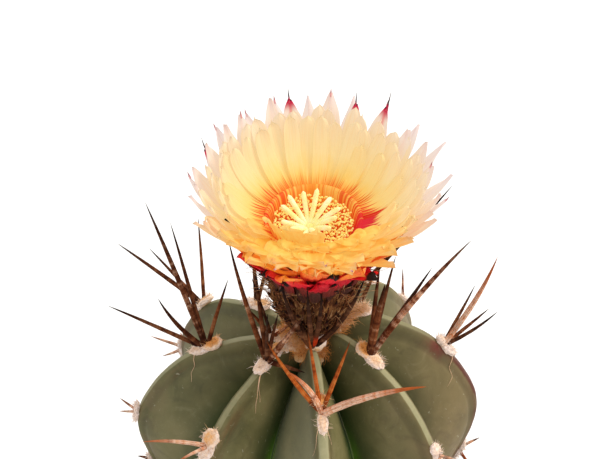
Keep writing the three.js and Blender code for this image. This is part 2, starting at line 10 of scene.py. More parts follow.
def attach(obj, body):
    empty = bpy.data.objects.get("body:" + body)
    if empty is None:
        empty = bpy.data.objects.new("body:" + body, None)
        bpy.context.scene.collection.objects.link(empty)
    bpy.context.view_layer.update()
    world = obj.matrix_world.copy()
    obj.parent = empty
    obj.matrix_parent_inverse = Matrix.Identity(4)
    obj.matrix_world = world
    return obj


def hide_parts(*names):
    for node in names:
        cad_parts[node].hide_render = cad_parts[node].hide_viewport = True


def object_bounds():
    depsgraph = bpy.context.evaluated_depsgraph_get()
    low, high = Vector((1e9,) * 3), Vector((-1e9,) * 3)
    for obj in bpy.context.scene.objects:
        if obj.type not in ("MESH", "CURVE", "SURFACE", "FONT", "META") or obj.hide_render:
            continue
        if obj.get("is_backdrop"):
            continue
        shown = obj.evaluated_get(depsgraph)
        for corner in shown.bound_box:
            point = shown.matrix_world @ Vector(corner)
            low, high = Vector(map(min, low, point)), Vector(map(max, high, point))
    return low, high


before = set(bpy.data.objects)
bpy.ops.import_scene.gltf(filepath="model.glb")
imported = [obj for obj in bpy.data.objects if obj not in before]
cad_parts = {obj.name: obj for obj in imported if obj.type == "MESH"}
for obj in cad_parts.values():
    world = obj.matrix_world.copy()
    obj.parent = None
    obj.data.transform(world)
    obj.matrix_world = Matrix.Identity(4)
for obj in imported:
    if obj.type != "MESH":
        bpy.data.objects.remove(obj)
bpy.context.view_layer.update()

# The view: from the front and 36 degrees above the level, near enough that the flower looks larger than
# the pot. The plant is seen from -Y, and the frame ends below the widest part of the stem.
VIEW_RISE = radians(36)
VIEW_DISTANCE = 0.62
PIXELS_PER_METRE = 3120
FRAME_WIDTH, FRAME_HEIGHT = 612, 459
STEM_MIDDLE = Vector((0, 0, 0.165))
STEM_MIDDLE_PIXEL = (308, 407)
SENSOR_WIDTH = 36

back = Vector((0, -cos(VIEW_RISE), sin(VIEW_RISE)))
up = Vector((0, sin(VIEW_RISE), cos(VIEW_RISE)))
aside = (STEM_MIDDLE_PIXEL[0] - FRAME_WIDTH / 2) / PIXELS_PER_METRE
below = (STEM_MIDDLE_PIXEL[1] - FRAME_HEIGHT / 2) / PIXELS_PER_METRE
camera = bpy.data.objects.new("camera", bpy.data.cameras.new("camera"))
camera.location = STEM_MIDDLE + back * VIEW_DISTANCE + up * below - Vector((aside, 0, 0))
camera.rotation_euler = (pi / 2 - VIEW_RISE, 0, 0)
camera.data.sensor_width = SENSOR_WIDTH
camera.data.lens = SENSOR_WIDTH * PIXELS_PER_METRE * VIEW_DISTANCE / FRAME_WIDTH
camera.data.clip_start = 0.01
bpy.context.scene.collection.objects.link(camera)
bpy.context.scene.camera = camera

# The light: a wide soft box high on the right, a weaker one on the left, one behind that shines through
# the petals, and an even pale room.
SOFT_BOXES = [
    ("key_light", (0.7, 0.0, 0.85), 0.6, 7.4, (1.0, 0.93, 0.82)),
    ("fill_light", (-0.6, -0.7, 0.6), 0.9, 1.3, (1.0, 1.0, 1.0)),
    ("back_light", (-0.1, 0.7, 0.9), 0.6, 3.0, (1.0, 1.0, 1.0)),
]
ROOM_STRENGTH = 0.74
for name, place, width, power, tint in SOFT_BOXES:
    box = bpy.data.objects.new(name, bpy.data.lights.new(name, "AREA"))
    box.data.shape = "DISK"
    box.data.size = width
    box.data.energy = power
    box.data.color = tint
    box.location = place
    box.rotation_euler = (Vector((0, 0, 0.2)) - Vector(place)).to_track_quat("-Z", "Y").to_euler()
    bpy.context.scene.collection.objects.link(box)
room = bpy.data.worlds.new("room")
room.use_nodes = True
room.node_tree.nodes["Background"].inputs["Color"].default_value = (1, 1, 1, 1)
room.node_tree.nodes["Background"].inputs["Strength"].default_value = ROOM_STRENGTH
bpy.context.scene.world = room
bpy.context.scene.view_settings.view_transform = "Standard"


# The floor: one plain pale table top of matt paint, so faintly uneven that only its shine shows it. The pot
# stands on it, and it is scenery, not a piece of the plant.
class Flow:
    """A value that runs through a finish. Sums and products of flows add their own steps."""

    def __init__(self, finish, socket):
        self.finish = finish
        self.socket = socket

    def reckon(self, operation, first, second):
        return self.finish.step("ShaderNodeMath", {"operation": operation}, {0: first, 1: second})

    def __add__(self, other):
        return self.reckon("ADD", self, other)

    def __radd__(self, other):
        return self.reckon("ADD", other, self)

    def __sub__(self, other):
        return self.reckon("SUBTRACT", self, other)

    def __rsub__(self, other):
        return self.reckon("SUBTRACT", other, self)

    def __mul__(self, other):
        return self.reckon("MULTIPLY", self, other)

    def __rmul__(self, other):
        return self.reckon("MULTIPLY", other, self)


def paint(red, green, blue):
    """A colour as the eye sees it, from 0 to 255, as the light that the renderer reckons with."""
    shares = [part / 255 for part in (red, green, blue)]
    return (*[part / 12.92 if part < 0.04 else ((part + 0.055) / 1.055) ** 2.4 for part in shares], 1)


class Finish:
    """A material under way: each step is a node, and what varies ends at the skin's own inputs."""

    def __init__(self, name, **plain):
        self.material = bpy.data.materials.new(name)
        self.material.use_nodes = True
        self.tree = self.material.node_tree
        self.skin = self.tree.nodes["Principled BSDF"]
        for socket, value in plain.items():
            self.skin.inputs[socket.replace("_", " ")].default_value = value

    def feed(self, socket, value):
        if isinstance(value, Flow):
            self.tree.links.new(value.socket, socket)
        else:
            socket.default_value = value

    def step(self, kind, settings, inputs, output=0):
        node = self.tree.nodes.new(kind)
        for key, value in settings.items():
            if key == "stops":
                ramp = node.color_ramp.elements
                for stop in value[2:]:
                    ramp.new(stop[0])
                for element, (position, color) in zip(ramp, value):
                    element.position = position
                    element.color = color
            else:
                setattr(node, key, value)
        for key, value in inputs.items():
            self.feed(node.inputs[key], value)
        return Flow(self, node.outputs[output])

    def mark(self, name):
        return self.step("ShaderNodeAttribute", {"attribute_name": name}, {}, "Fac")

    def place(self, stretch=(1, 1, 1)):
        here = self.step("ShaderNodeTexCoord", {}, {}, "Object")
        return self.step("ShaderNodeMapping", {}, {"Vector": here, "Scale": stretch})

    def along(self, x, y, z):
        return self.step("ShaderNodeCombineXYZ", {}, {0: x, 1: y, 2: z})

    def grain(self, where, scale, detail=3, rough=0.55, warp=0.0):
        settings = {"Vector": where, "Scale": scale, "Detail": detail, "Roughness": rough, "Distortion": warp}
        return self.step("ShaderNodeTexNoise", {}, settings, "Fac")

    def band(self, value, low, high):
        """0 below low and 1 above high, or the other way round, with a soft edge."""
        settings = {"interpolation_type": "SMOOTHSTEP"}
        return self.step("ShaderNodeMapRange", settings, {"Value": value, "From Min": low, "From Max": high})

    def ramp(self, value, *stops):
        """Colours that follow a value. Each stop is a place from 0 to 1 and its red, green and blue."""
        stops = [(stop[0], paint(*stop[1:])) for stop in stops]
        return self.step("ShaderNodeValToRGB", {"stops": stops}, {"Fac": value})

    def blend(self, share, under, over):
        sides = [side if isinstance(side, Flow) else paint(*side) for side in (under, over)]
        return self.step("ShaderNodeMix", {"data_type": "RGBA"}, {0: share, 6: sides[0], 7: sides[1]}, 2)

    def coats(self, color, *layers):
        """Coats of paint over a colour, each with the share of the ground that it hides."""
        for share, tint in layers:
            color = self.blend(share, color, tint)
        return color

    def size_of(self, value):
        return self.step("ShaderNodeMath", {"operation": "ABSOLUTE"}, {0: value})

    def relief(self, height, depth, strength=1.0):
        inputs = {"Height": height, "Distance": depth, "Strength": strength}
        self.feed(self.skin.inputs["Normal"], self.step("ShaderNodeBump", {}, inputs))

    def ends(self, color, roughness, **more):
        """The finish is done. Spaces in the names of further inputs are written as underscores."""
        for socket, value in {"Base_Color": color, "Roughness": roughness, **more}.items():
            self.feed(self.skin.inputs[socket.replace("_", " ")], value)


table_paint = Finish("table_paint")
mottle = table_paint.grain(table_paint.place(), 3)
table_paint.ends(table_paint.blend(mottle, (246, 246, 246), (250, 250, 250)), 0.75 + 0.1 * mottle)
table_mesh = bpy.data.meshes.new("floor")
FLOOR_HALF = 6
table_mesh.from_pydata(
    [(x * FLOOR_HALF, y * FLOOR_HALF, 0) for x, y in ((-1, -1), (1, -1), (1, 1), (-1, 1))], [], [(0, 1, 2, 3)]
)
table_mesh.materials.append(table_paint.material)
table = bpy.data.objects.new("floor", table_mesh)
bpy.context.scene.collection.objects.link(table)
table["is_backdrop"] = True

# The pot: thrown terracotta with a collar round its rim and a drain hole. It shows the rings of the wheel,
# a salty bloom where water dries at the rim and foot, and a darker body where it is damp.
POT_PROFILE = [
    (7, 0), (44.8, 0), (46, 1.2), (57.85, 79), (63.2, 79), (64.1, 80.2), (66, 102.4), (64.8, 104),
    (60.3, 104), (59.3, 103), (42, 10), (40, 8), (7, 8),
]
POT_SIDES = 132
POT_ROW = 2.4
POT_EDGE = 0.9
WHEEL_RING = 0.1
WALL_BOTTOM, WALL_TOP, WALL_INSIDE = 2, 102, 30
MILLIMETRE = 0.001


class Bundle:
    """Loose bits gathered into one mesh, each point with its marks for the finish. Sizes in millimetres."""

    def __init__(self):
        self.points = []
        self.faces = []
        self.marks = {}

    def add(self, points, faces, **marks):
        start = len(self.points)
        self.points.extend(points)
        self.faces.extend([start + i for i in face] for face in faces)
        for mark, value in marks.items():
            values = value if isinstance(value, list) else [value] * len(points)
            self.marks.setdefault(mark, []).extend(values)

    def made(self, name, finish, nodes, smooth=True):
        """The bits become one piece of the plant, which stands for the given nodes."""
        mesh = bpy.data.meshes.new(name)
        mesh.from_pydata([Vector(point) * MILLIMETRE for point in self.points], [], self.faces)
        for mark, values in self.marks.items():
            mesh.attributes.new(mark, "FLOAT", "POINT").data.foreach_set("value", values)
        shell = bmesh.new()
        shell.from_mesh(mesh)
        bmesh.ops.recalc_face_normals(shell, faces=shell.faces)
        shell.to_mesh(mesh)
        shell.free()
        mesh.polygons.foreach_set("use_smooth", [smooth] * len(mesh.polygons))
        mesh.materials.append(finish.material)
        piece = bpy.data.objects.new(name, mesh)
        bpy.context.scene.collection.objects.link(piece)
        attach(piece, "root")
        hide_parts(*nodes)


def turned(profile, sides, closed):
    """Points and faces of a turned form. A profile that starts or ends on the axis closes there."""
    points, rings = [], []
    for r, z in profile:
        count = sides if r > 0 else 1
        rings.append([len(points) + i for i in range(count)])
        for i in range(count):
            turn = 2 * pi * i / sides
            points.append((r * sin(turn), -r * cos(turn), z))
    faces = []
    pairs = list(zip(rings, rings[1:] + rings[:1])) if closed else list(zip(rings, rings[1:]))
    for lower, upper in pairs:
        for i in range(sides):
            j = (i + 1) % sides
            a, b, c, d = [ring[k % len(ring)] for ring, k in ((lower, i), (lower, j), (upper, j), (upper, i))]
            faces.append(list(dict.fromkeys((a, b, c, d))))
    return points, faces


def eased(profile, edge, row):
    """The closed profile with its corners rounded and its long runs divided."""
    points = []
    for i, (r, z) in enumerate(profile):
        here = Vector((r, z))
        before, after = Vector(profile[i - 1]), Vector(profile[(i + 1) % len(profile)])
        reach = min(edge, (before - here).length / 2.2, (after - here).length / 2.2)
        start, end = here + (before - here).normalized() * reach, here + (after - here).normalized() * reach
        points.extend(start.lerp(here, t).lerp(here.lerp(end, t), t) for t in (0, 0.33, 0.67, 1))
        next_start = after + (here - after).normalized() * min(edge, (after - here).length / 2.2)
        steps = int((next_start - end).length / row)
        points.extend(end.lerp(next_start, (k + 1) / (steps + 1)) for k in range(steps))
    return [tuple(point) for point in points]


points, faces = turned(eased(POT_PROFILE, POT_EDGE, POT_ROW), POT_SIDES, closed=True)
thrown = []
for x, y, z in points:
    ring = WHEEL_RING * (sin(z * 1.9 + 0.4 * sin(z * 0.31)) + 0.6 * cloud.noise((x / 22, y / 22, z / 9)))
    reach = hypot(x, y)
    on_wall = 1 if WALL_BOTTOM < z < WALL_TOP and reach > WALL_INSIDE else 0
    scale = 1 - on_wall * (ring + 2 * WHEEL_RING) / reach
    thrown.append((x * scale, y * scale, z))
pot = Bundle()
pot.add(thrown, faces)

terracotta = Finish("terracotta", Specular_IOR_Level=0.25)
here = terracotta.place()
height = terracotta.step("ShaderNodeSeparateXYZ", {}, {0: here}, 2)
clouds = terracotta.grain(here, 28, 4)
grit = terracotta.grain(here, 900, 2, 0.7)
pits = terracotta.grain(here, 420, 2, 0.4)
rings = terracotta.grain(terracotta.place((1, 1, 14)), 40, 3)
edge_bloom = terracotta.band(height, 0.093, 0.104) + terracotta.band(height, 0.012, 0.0)
bloom = (edge_bloom * 0.7 + 0.25) * terracotta.band(terracotta.grain(here, 60, 5, 0.65, 0.6), 0.54, 0.72)
clay = terracotta.coats(
    terracotta.ramp(0.6 * clouds + 0.4 * rings, (0.3, 158, 86, 56), (0.5, 187, 108, 73), (0.72, 205, 134, 98)),
    (terracotta.band(height + 0.03 * clouds, 0.05, 0.0) * 0.45, (122, 66, 45)),
    (bloom * 0.5, (222, 190, 162)),
    (terracotta.band(grit, 0.62, 0.8) * 0.35, (98, 58, 42)),
)
terracotta.relief(0.5 * grit + rings + terracotta.band(pits, 0.35, 0.2) * -1.2, 0.00025, 0.8)
terracotta.ends(clay, 0.82 + 0.14 * clouds)
pot.made("clay_pot", terracotta, ["pot"])

# The soil: a gritty cactus mix that fills the pot to just below the rim, with loose chips of pumice, lava
# and bark on top. The foot of the stem stands in a hole in it.
SOIL_TOP = 96
SOIL_HOLE = [(0, 52.4), (5.5, 58), (12.5, 73), (22.5, 85), (31.2, 94.6)]
SOIL_OUTSIDE = [(56.6, 94.4), (42.1, 10.3), (40, 8.3), (0, 8.3)]
SOIL_SIDES = 200
SOIL_ROWS = 34
SOIL_INSIDE, SOIL_REACH = 31.6, 56.4
CHIPS = 1500
CHIP_REACH = (33.8, 56.2)


def soil_height(x, y):
    swell = 0.9 * cloud.noise((x / 9, y / 9, 3)) + 0.5 * cloud.noise((x / 2.2, y / 2.2, 7))
    return SOIL_TOP + 0.5 + swell + 0.25 * cloud.noise((x / 0.7, y / 0.7, 1))


soil_step = (SOIL_REACH - SOIL_INSIDE) / (SOIL_ROWS - 1)
top_rows = [(SOIL_INSIDE + soil_step * i, SOIL_TOP) for i in range(SOIL_ROWS)]
points, faces = turned(SOIL_HOLE + top_rows + SOIL_OUTSIDE, SOIL_SIDES, closed=False)
bed = Bundle()
bed.add([(x, y, soil_height(x, y) if z == SOIL_TOP else z) for x, y, z in points], faces)

peat = Finish("gritty_peat", Specular_IOR_Level=0.2)
here = peat.place()
crumbs = peat.grain(here, 700, 4, 0.7)
lumps = peat.grain(here, 160, 3)
earth = peat.ramp(crumbs, (0.3, 38, 26, 19), (0.52, 74, 55, 41), (0.7, 120, 96, 74))
peat.relief(crumbs + 0.6 * lumps, 0.0009)
peat.ends(peat.blend(peat.band(lumps, 0.45, 0.6) * 0.5, earth, (52, 37, 28)), 0.9 + 0.08 * crumbs)
bed.made("soil_bed", peat, ["soil"])


def ball(divisions):
    """Points and faces of a ball of radius 1."""
    form = bmesh.new()
    bmesh.ops.create_icosphere(form, subdivisions=divisions, radius=1)
    corners = [vertex.co.copy() for vertex in form.verts]
    sides = [[vertex.index for vertex in face.verts] for face in form.faces]
    form.free()
    return corners, sides


luck = random.Random(11)
chips = Bundle()
chip_points, chip_faces = ball(1)
for i in range(CHIPS):
    share = luck.random()
    reach = sqrt(CHIP_REACH[0] ** 2 * (1 - share) + CHIP_REACH[1] ** 2 * share)
    turn = luck.uniform(0, 2 * pi)
    x, y = reach * sin(turn), -reach * cos(turn)
    size = 0.45 + 1.15 * luck.random() ** 2.6
    spin = Matrix.Rotation(luck.uniform(0, 6.28), 3, (luck.random(), luck.random(), 1))
    flat = Matrix.Diagonal((1, luck.uniform(0.6, 1), luck.uniform(0.45, 0.85)))
    middle = Vector((x, y, soil_height(x, y) + 0.25 * size))
    bits = []
    for corner in chip_points:
        rough = 1 + 0.28 * cloud.noise(corner * 1.7 + Vector((i, 0, 0)))
        bits.append(middle + spin @ flat @ (corner * size * rough))
    chips.add(bits, chip_faces, kind=luck.random(), shade=luck.random())

stones = Finish("pumice_and_lava", Specular_IOR_Level=0.25)
here = stones.place()
kind, shade = stones.mark("kind"), stones.mark("shade")
pores = stones.grain(here, 1500, 3, 0.7)
stone = stones.ramp(
    kind, (0.1, 70, 48, 38), (0.3, 120, 92, 70), (0.5, 150, 140, 126),
    (0.68, 186, 172, 148), (0.85, 104, 64, 48), (1.0, 58, 52, 48),
)
stone = stones.blend(0.35 * shade, stone, (60, 44, 34))
stones.relief(pores, 0.0004)
stones.ends(stones.blend(stones.band(pores, 0.5, 0.3) * 0.5, stone, (60, 46, 38)), 0.85 + 0.1 * pores)
chips.made("soil_chips", stones, ["soil"], smooth=False)

# The stem: one fleshy body of eight deep ribs. Each crest carries a paler corded strip with a groove beside it,
# darkened by painted shade. The waxy olive skin is greener deep in the valleys, and bronzed and scarred near
# the edges.
EQUATOR = 165
CREST = [
    (0, 25), (5.5, 26), (11, 33), (20, 33), (30, 29.5), (38, 25.5), (45, 19),
    (50.5, 11), (54, 3), (54.5, -5), (52.3, -14), (48, -24), (44, -35), (40.5, -46),
    (37, -58), (32.5, -69), (22, -80), (12, -92), (5, -107), (0, -112),
]
VALLEY = [
    (0, 25), (4.6, 24.4), (7.5, 22), (12.5, 18.8), (18, 14.5), (22.5, 10.5), (27, 6),
    (30.5, 0.5), (33.2, -5), (35, -11), (36, -18), (35.5, -27), (34.5, -37), (33, -47.5),
    (31.5, -59), (29.5, -69), (21, -80), (12, -92), (5, -107), (0, -112),
]
STATIONS = len(CREST) - 1
STRIP_HALF_WIDTH = 1.8
STRIP_WIDEST_SHARE = 0.3
STRIP_EDGE_DROP = 0.35
GROOVE_SHARE = 1.5
GROOVE_DROP = 0.3
FLANK_POWER = 1.12
LIFT_FROM = 1
LIFT_STATIONS = 1.5
# Each rib: azimuth from the front at the crown and at the foot, lift of its inner crest, areole stations
RIBS = [
    (8, 2, 0, [1.9, 4.6, 8.5, 11.4]),
    (50, 48, 3.5, [3.45, 7.15, 10.4, 12.8]),
    (95, 93, 5, [2.45, 5.65, 10.7, 12.9]),
    (142, 140, 6, [4.05, 7.0, 9.8, 12.3]),
    (186, 184, -3, [2.8, 5.9, 8.9, 11.8]),
    (229, 231, -3, [3.15, 5.95, 8.9, 11.7]),
    (275, 273, -4, [2.0, 4.2, 8.15, 10.6, 12.9]),
    (321, 320, -2, [3.0, 6.3, 10.0, 12.5]),
]
VALLEYS = [27, 72.5, 118, 163, 207, 252, 298, 337.5]
STEM_SOIL_STATION = 15.4
STRIP_COLUMNS = 8
FLANK_COLUMNS = 13
WIDE_STRIP = 2.2


def on_curve(points, t):
    """A smooth curve through the points, for t from 0 to 1."""
    along = t * (len(points) - 1)
    i = min(int(along), len(points) - 2)
    weight = along - i
    p0, p1 = points[max(i - 1, 0)], points[i]
    p2, p3 = points[i + 1], points[min(i + 2, len(points) - 1)]
    spot = []
    for a, b, c, d in zip(p0, p1, p2, p3):
        v0, v1 = (c - a) / 2, (d - b) / 2
        cubic = (2 * b - 2 * c + v0 + v1) * weight ** 3
        spot.append(cubic + (-3 * b + 3 * c - 2 * v0 - v1) * weight ** 2 + v0 * weight + b)
    return spot


def lift_at(lift, station):
    way = max(0, station - LIFT_FROM) / LIFT_STATIONS
    return lift * way * exp(1 - way) * (1 - station / STATIONS)


def rib_turn(rib, station):
    crown, foot = RIBS[rib][:2]
    return crown + (foot - crown) * station / STATIONS


def crest_spot(rib, station):
    r, z = on_curve(CREST, station / STATIONS)
    return r, EQUATOR + z + lift_at(RIBS[rib][2], station)


def around(r, h, turn):
    """The point at that distance from the axis and that height, by its azimuth from the front."""
    return Vector((r * sin(turn), -r * cos(turn), h))


def stem_spot(rib, side, column, station):
    """A point of the skin. column goes from 0, the middle of the crest, to 1, the valley; its share of the
    way across and its place on the strip come with it, as marks for the finish."""
    crest = crest_spot(rib, station)
    r, z = on_curve(VALLEY, station / STATIONS)
    lift = (RIBS[rib][2] + RIBS[(rib + side) % len(RIBS)][2]) / 2
    valley = (r, EQUATOR + z + lift_at(lift, station))
    here = rib_turn(rib, station)
    there = VALLEYS[rib if side > 0 else rib - 1]
    if side < 0 and there > here:
        there -= 360
    half = abs(there - here)
    strip = min(STRIP_WIDEST_SHARE, degrees(STRIP_HALF_WIDTH / max(crest[0], 1)) / half)
    shoulder = STRIP_COLUMNS / (STRIP_COLUMNS + FLANK_COLUMNS)
    if column <= shoulder:
        across = strip * WIDE_STRIP * column / shoulder
    else:
        across = strip * WIDE_STRIP + (1 - strip * WIDE_STRIP) * (column - shoulder) / (1 - shoulder)
    deep = dist(crest, valley)
    cord = across / strip
    ease = min(1, max(0, (cord - 0.7) / 0.9))
    fall = across ** FLANK_POWER * ease * ease * (3 - 2 * ease)
    drop = STRIP_EDGE_DROP * min(cord, 1) ** 2.5 * exp(-max(0, cord - 1) * 1.2)
    drop += GROOVE_DROP * exp(-((cord - GROOVE_SHARE) / 0.42) ** 2)
    fall += min(0.1 * deep, drop) / deep if deep > 0 else 0
    turn = radians(here + (there - here) * across)
    r = crest[0] + (valley[0] - crest[0]) * fall
    z = crest[1] + (valley[1] - crest[1]) * fall
    return around(r, z, turn), across, cord


ROW_STEP = 0.115
HIDDEN_STATIONS = [16, 17, 18, 18.6]
stations = [0.02 + ROW_STEP * i for i in range(1 + int(STEM_SOIL_STATION / ROW_STEP))] + HIDDEN_STATIONS
columns = STRIP_COLUMNS + FLANK_COLUMNS
spokes = []
for rib in range(len(RIBS)):
    spokes += [(rib, 1, i / columns) for i in range(columns + 1)]
    spokes += [((rib + 1) % len(RIBS), -1, i / columns) for i in range(columns - 1, 0, -1)]
# How pale each rib's strip is, and how narrow the pale part
STRIP_LOOKS = [
    (0.95, 1.05), (0.8, 1.7), (0.4, 1.6), (0.6, 1.3), (0.6, 1.3), (0.5, 1.3), (0.56, 1.6), (0.55, 1.75),
]
# One red scald beside an areole: its rib and station
STAIN = (2, 5.5)
SKIN_MARKS = ("across", "cord", "station", "rib", "paleness", "slim", "stain")
skin_points, skin_marks = [], {name: [] for name in SKIN_MARKS}
for station in stations:
    for rib, side, column in spokes:
        spot, across, cord = stem_spot(rib, side, column, station)
        out = Vector((spot.x, spot.y, 0.4 * (spot.z - EQUATOR))).normalized()
        flank = min(1, across * 4)
        swell = 0.35 * cloud.noise(spot / 13) * flank + 0.1 * cloud.noise(spot / 3.1)
        skin_points.append(spot + out * (swell - 0.1))
        near = exp(-(((station - STAIN[1]) / 0.45) ** 2) - ((across - 0.1) / 0.08) ** 2)
        stain = near if rib == STAIN[0] else 0.0
        values = (across, cord * side, station / STATIONS, rib / len(RIBS), *STRIP_LOOKS[rib], stain)
        for name, value in zip(SKIN_MARKS, values):
            skin_marks[name].append(value)
skin_faces = []
width = len(spokes)
for row in range(len(stations) - 1):
    for i in range(width):
        j = (i + 1) % width
        skin_faces.append([row * width + i, row * width + j, (row + 1) * width + j, (row + 1) * width + i])
skin_faces.append(list(range(width)))
skin_faces.append(list(range((len(stations) - 1) * width, len(stations) * width))[::-1])
body = Bundle()
body.add(skin_points, skin_faces, **skin_marks)

skin = Finish("waxy_olive_skin", Specular_IOR_Level=0.28, Coat_Roughness=0.4)
here = skin.place()
across, cord, station, rib, paleness, slim, stain = [skin.mark(name) for name in SKIN_MARKS]
broad = skin.grain(here, 38, 4, 0.6, 0.4)
fine = skin.grain(here, 330, 3, 0.65)
blotch = skin.grain(here, 120, 4, 0.7, 0.9)
streak = skin.grain(skin.along(across * 6, station * 3, rib * 7), 3, 4)
bronze = skin.band(across, 0.4, 0.05) * skin.band(broad, 0.45, 0.62) * skin.band(station, 0.2, 0.5)
fringe = skin.band(across, 0.82, 0.95) * skin.band(across, 1.0, 0.985) * skin.band(station, 0.24, 0.4)
fringe = fringe * (0.35 + streak) * (0.4 + 0.6 * skin.band(station, 0.66, 0.5))
# The right side of the stem, where the key light falls, is painted warmer and paler: painted light.
painted_sunlit_side = skin.band(skin.step("ShaderNodeSeparateXYZ", {}, {0: here}, 0), 0.012, 0.05)
greyer = skin.band(rib, 0.06, 0.02) * skin.band(cord, -0.6, -1.8)
from_crest = skin.size_of(cord)
strip = skin.band(from_crest * slim + 0.25 * (fine - 0.5), 1.05, 0.7)
# The groove beside each strip is painted darker: painted shade in the groove.
groove = skin.band(from_crest, 1.0, 1.35) * skin.band(from_crest, 2.1, 1.5)
bare = 0.53 - paleness
margin = skin.band(from_crest - 3 * bare, 0.95, 0.35) * skin.band(bare, 0.0, 0.03)
margin = margin * skin.band(streak + 0.3 * blotch, 0.46, 0.62) * skin.band(station, 0.29, 0.34)
scuff = skin.band(skin.grain(skin.along(across * 16, station * 90, rib * 9), 2, 4, 0.7), 0.6, 0.72)
russet = skin.band(cord, 0.75, 1.1) * skin.band(cord, 1.9, 1.2) * skin.band(station, 0.22, 0.3)
specks = skin.band(skin.grain(here, 210, 3, 0.6, 2.6), 0.66, 0.74)
specks = specks * skin.band(skin.grain(here, 60, 2), 0.42, 0.58)
cork = skin.band(station + 0.05 * broad, 0.74, 0.82)
olive = skin.coats(
    skin.ramp(broad, (0.3, 76, 75, 42), (0.5, 102, 98, 60), (0.7, 124, 116, 77)),
    (skin.band(blotch, 0.5, 0.7) * 0.34, (60, 58, 36)),
    (skin.band(blotch, 0.44, 0.28) * 0.26, (146, 138, 104)),
    (skin.band(across, 0.5, 0.96) * (0.66 + 0.5 * streak), (46, 64, 24)),
    (fringe * 0.85, (92, 136, 30)),
    # The very bottom of each valley is painted near black: painted shade in the crease.
    (skin.band(across, 0.97, 1.0) * 0.7, (24, 32, 10)),
    (bronze * 0.5, (96, 66, 48)),
    (painted_sunlit_side * (0.04 + 0.2 * broad), (172, 120, 90)),
    (greyer * 0.36, (140, 138, 114)),
    (strip * paleness, skin.blend(fine, (134, 133, 94), (176, 170, 134))),
    (groove * 0.22, (54, 46, 26)),
    (margin * 0.95, (84, 34, 24)),
    (stain * skin.band(fine, 0.2, 0.6), (112, 48, 38)),
    (scuff * skin.band(broad, 0.42, 0.6) * 0.3, (166, 162, 132)),
    (russet * skin.band(streak, 0.46, 0.66) * 0.28, (122, 66, 42)),
    (specks * 0.5, (178, 174, 146)),
    (cork * 0.8, skin.blend(fine, (104, 84, 60), (146, 124, 94))),
)
skin.relief(0.5 * fine + 0.5 * specks + 0.3 * broad, 0.00018, 0.7)
skin.ends(olive, 0.5 + 0.2 * fine + 0.15 * cork, Coat_Weight=0.03 + 0.08 * broad)
body.made("stem_body", skin, ["stem"])

# The areoles: felted pads astride each crest, tan towards the crown and greyer with age, with a paler felt
# below them that holds the roots of the spines. Loose hairs fray round them, and a few long threads hang.
YOUNG_STATIONS = 7
OLD_SIZE = 0.72
PAD = {"across": 2.8, "along": 3.1, "height": 1.3, "uphill": 2.3, "raised": 0.9}
FELT = {"across": 2.3, "along": 3.9, "height": 1.4, "uphill": -1.6, "raised": 0.35}
PAD_HAIRS, FELT_HAIRS = 60, 80
HAIR_RADIUS = 0.07
HAIR_ROOT = 0.92
# The areole whose pad ends uphill in a fringe of stiff hairs
FRINGED, FRINGE_HAIRS = (7, 0), 16
# Areoles that differ: the sizes of their pad and of their felt
SPECIAL = {
    (0, 0): (
        {"across": 2.8, "along": 2.4, "aside": 0.8},
        {"across": 3.0, "along": 2.8, "height": 4.3, "aside": 1.3, "uphill": -1.6, "raised": 3.2},
    ),
    (7, 0): ({"across": 2.3, "along": 4.6, "uphill": 4.8, "raised": 1.3}, {}),
    (0, 1): (
        {"across": 2.3, "along": 2.2, "uphill": 3.9, "raised": 2.0},
        {"across": 1.65, "along": 3.6, "uphill": -2.9},
    ),
    (2, 1): ({"across": 1.6, "along": 1.8}, {}),
}
# How tan the wool is where it differs from the rule: rib, areole, share
TAN = {(0, 0): 1.3, (0, 1): 0.9, (6, 1): 1.1, (7, 0): 0.9, (1, 0): 1.15, (2, 1): 0.15, (2, 0): 0.6}
# A comb of wool from the crown down one inner crest: rib, first and last station, tufts, how far forward
# and how far up
COMB = (7, 1.1, 2.0, 9, 2.4, 2.2)
THREAD_STEPS = 12
# Long loose threads: rib, areole, side of the crest, share of the way down the flank, stations that it hangs
THREADS = [
    (0, 1, -1, 0.3, 1.0), (0, 1, 1, 0.25, 0.7), (7, 0, 1, 0.42, 1.4), (7, 0, 1, 0.34, 0.9),
    (6, 1, 1, 0.45, 1.0), (2, 1, -1, 0.45, 0.8), (5, 0, -1, 0.4, 0.7),
]


def areole_frame(rib, station):
    """Where an areole sits: its place, and the ways across, down and out from the crest there."""
    turn = radians(rib_turn(rib, station))
    radial, across = around(1, 0, turn), around(1, 0, turn + pi / 2)
    r, z = crest_spot(rib, station)
    before, after = Vector(crest_spot(rib, station - 0.2)), Vector(crest_spot(rib, station + 0.2))
    step = (after - before).normalized()
    down = radial * step.x + Vector((0, 0, step.y))
    return radial * r + Vector((0, 0, z)), across, down, down.cross(across)


def strand(path, radii, sides, ridges=0.0, flatness=1.0):
    """A closed tube along a path, with a radius at each point. Ridges make every other corner lower."""
    points, faces = [], []
    first = (path[1] - path[0]).normalized()
    reference = Vector((0, 0, 1)) if abs(first.z) < 0.8 else Vector((1, 0, 0))
    for i, (spot, radius) in enumerate(zip(path, radii)):
        run = (path[min(i + 1, len(path) - 1)] - path[max(i - 1, 0)]).normalized()
        one = run.cross(reference).normalized()
        other = run.cross(one)
        for k in range(sides):
            angle = 2 * pi * k / sides
            reach = radius * (1 - ridges * (k % 2))
            points.append(spot + one * cos(angle) * reach + other * sin(angle) * reach * flatness)
        if i:
            low, high = (i - 1) * sides, i * sides
            for k, after in zip(range(sides), [*range(1, sides), 0]):
                faces.append([low + k, low + after, high + after, high + k])
    faces.append(list(range(sides)))
    faces.append(list(range(len(points) - sides, len(points))))
    return points, faces


FINE_BALL = ball(4)


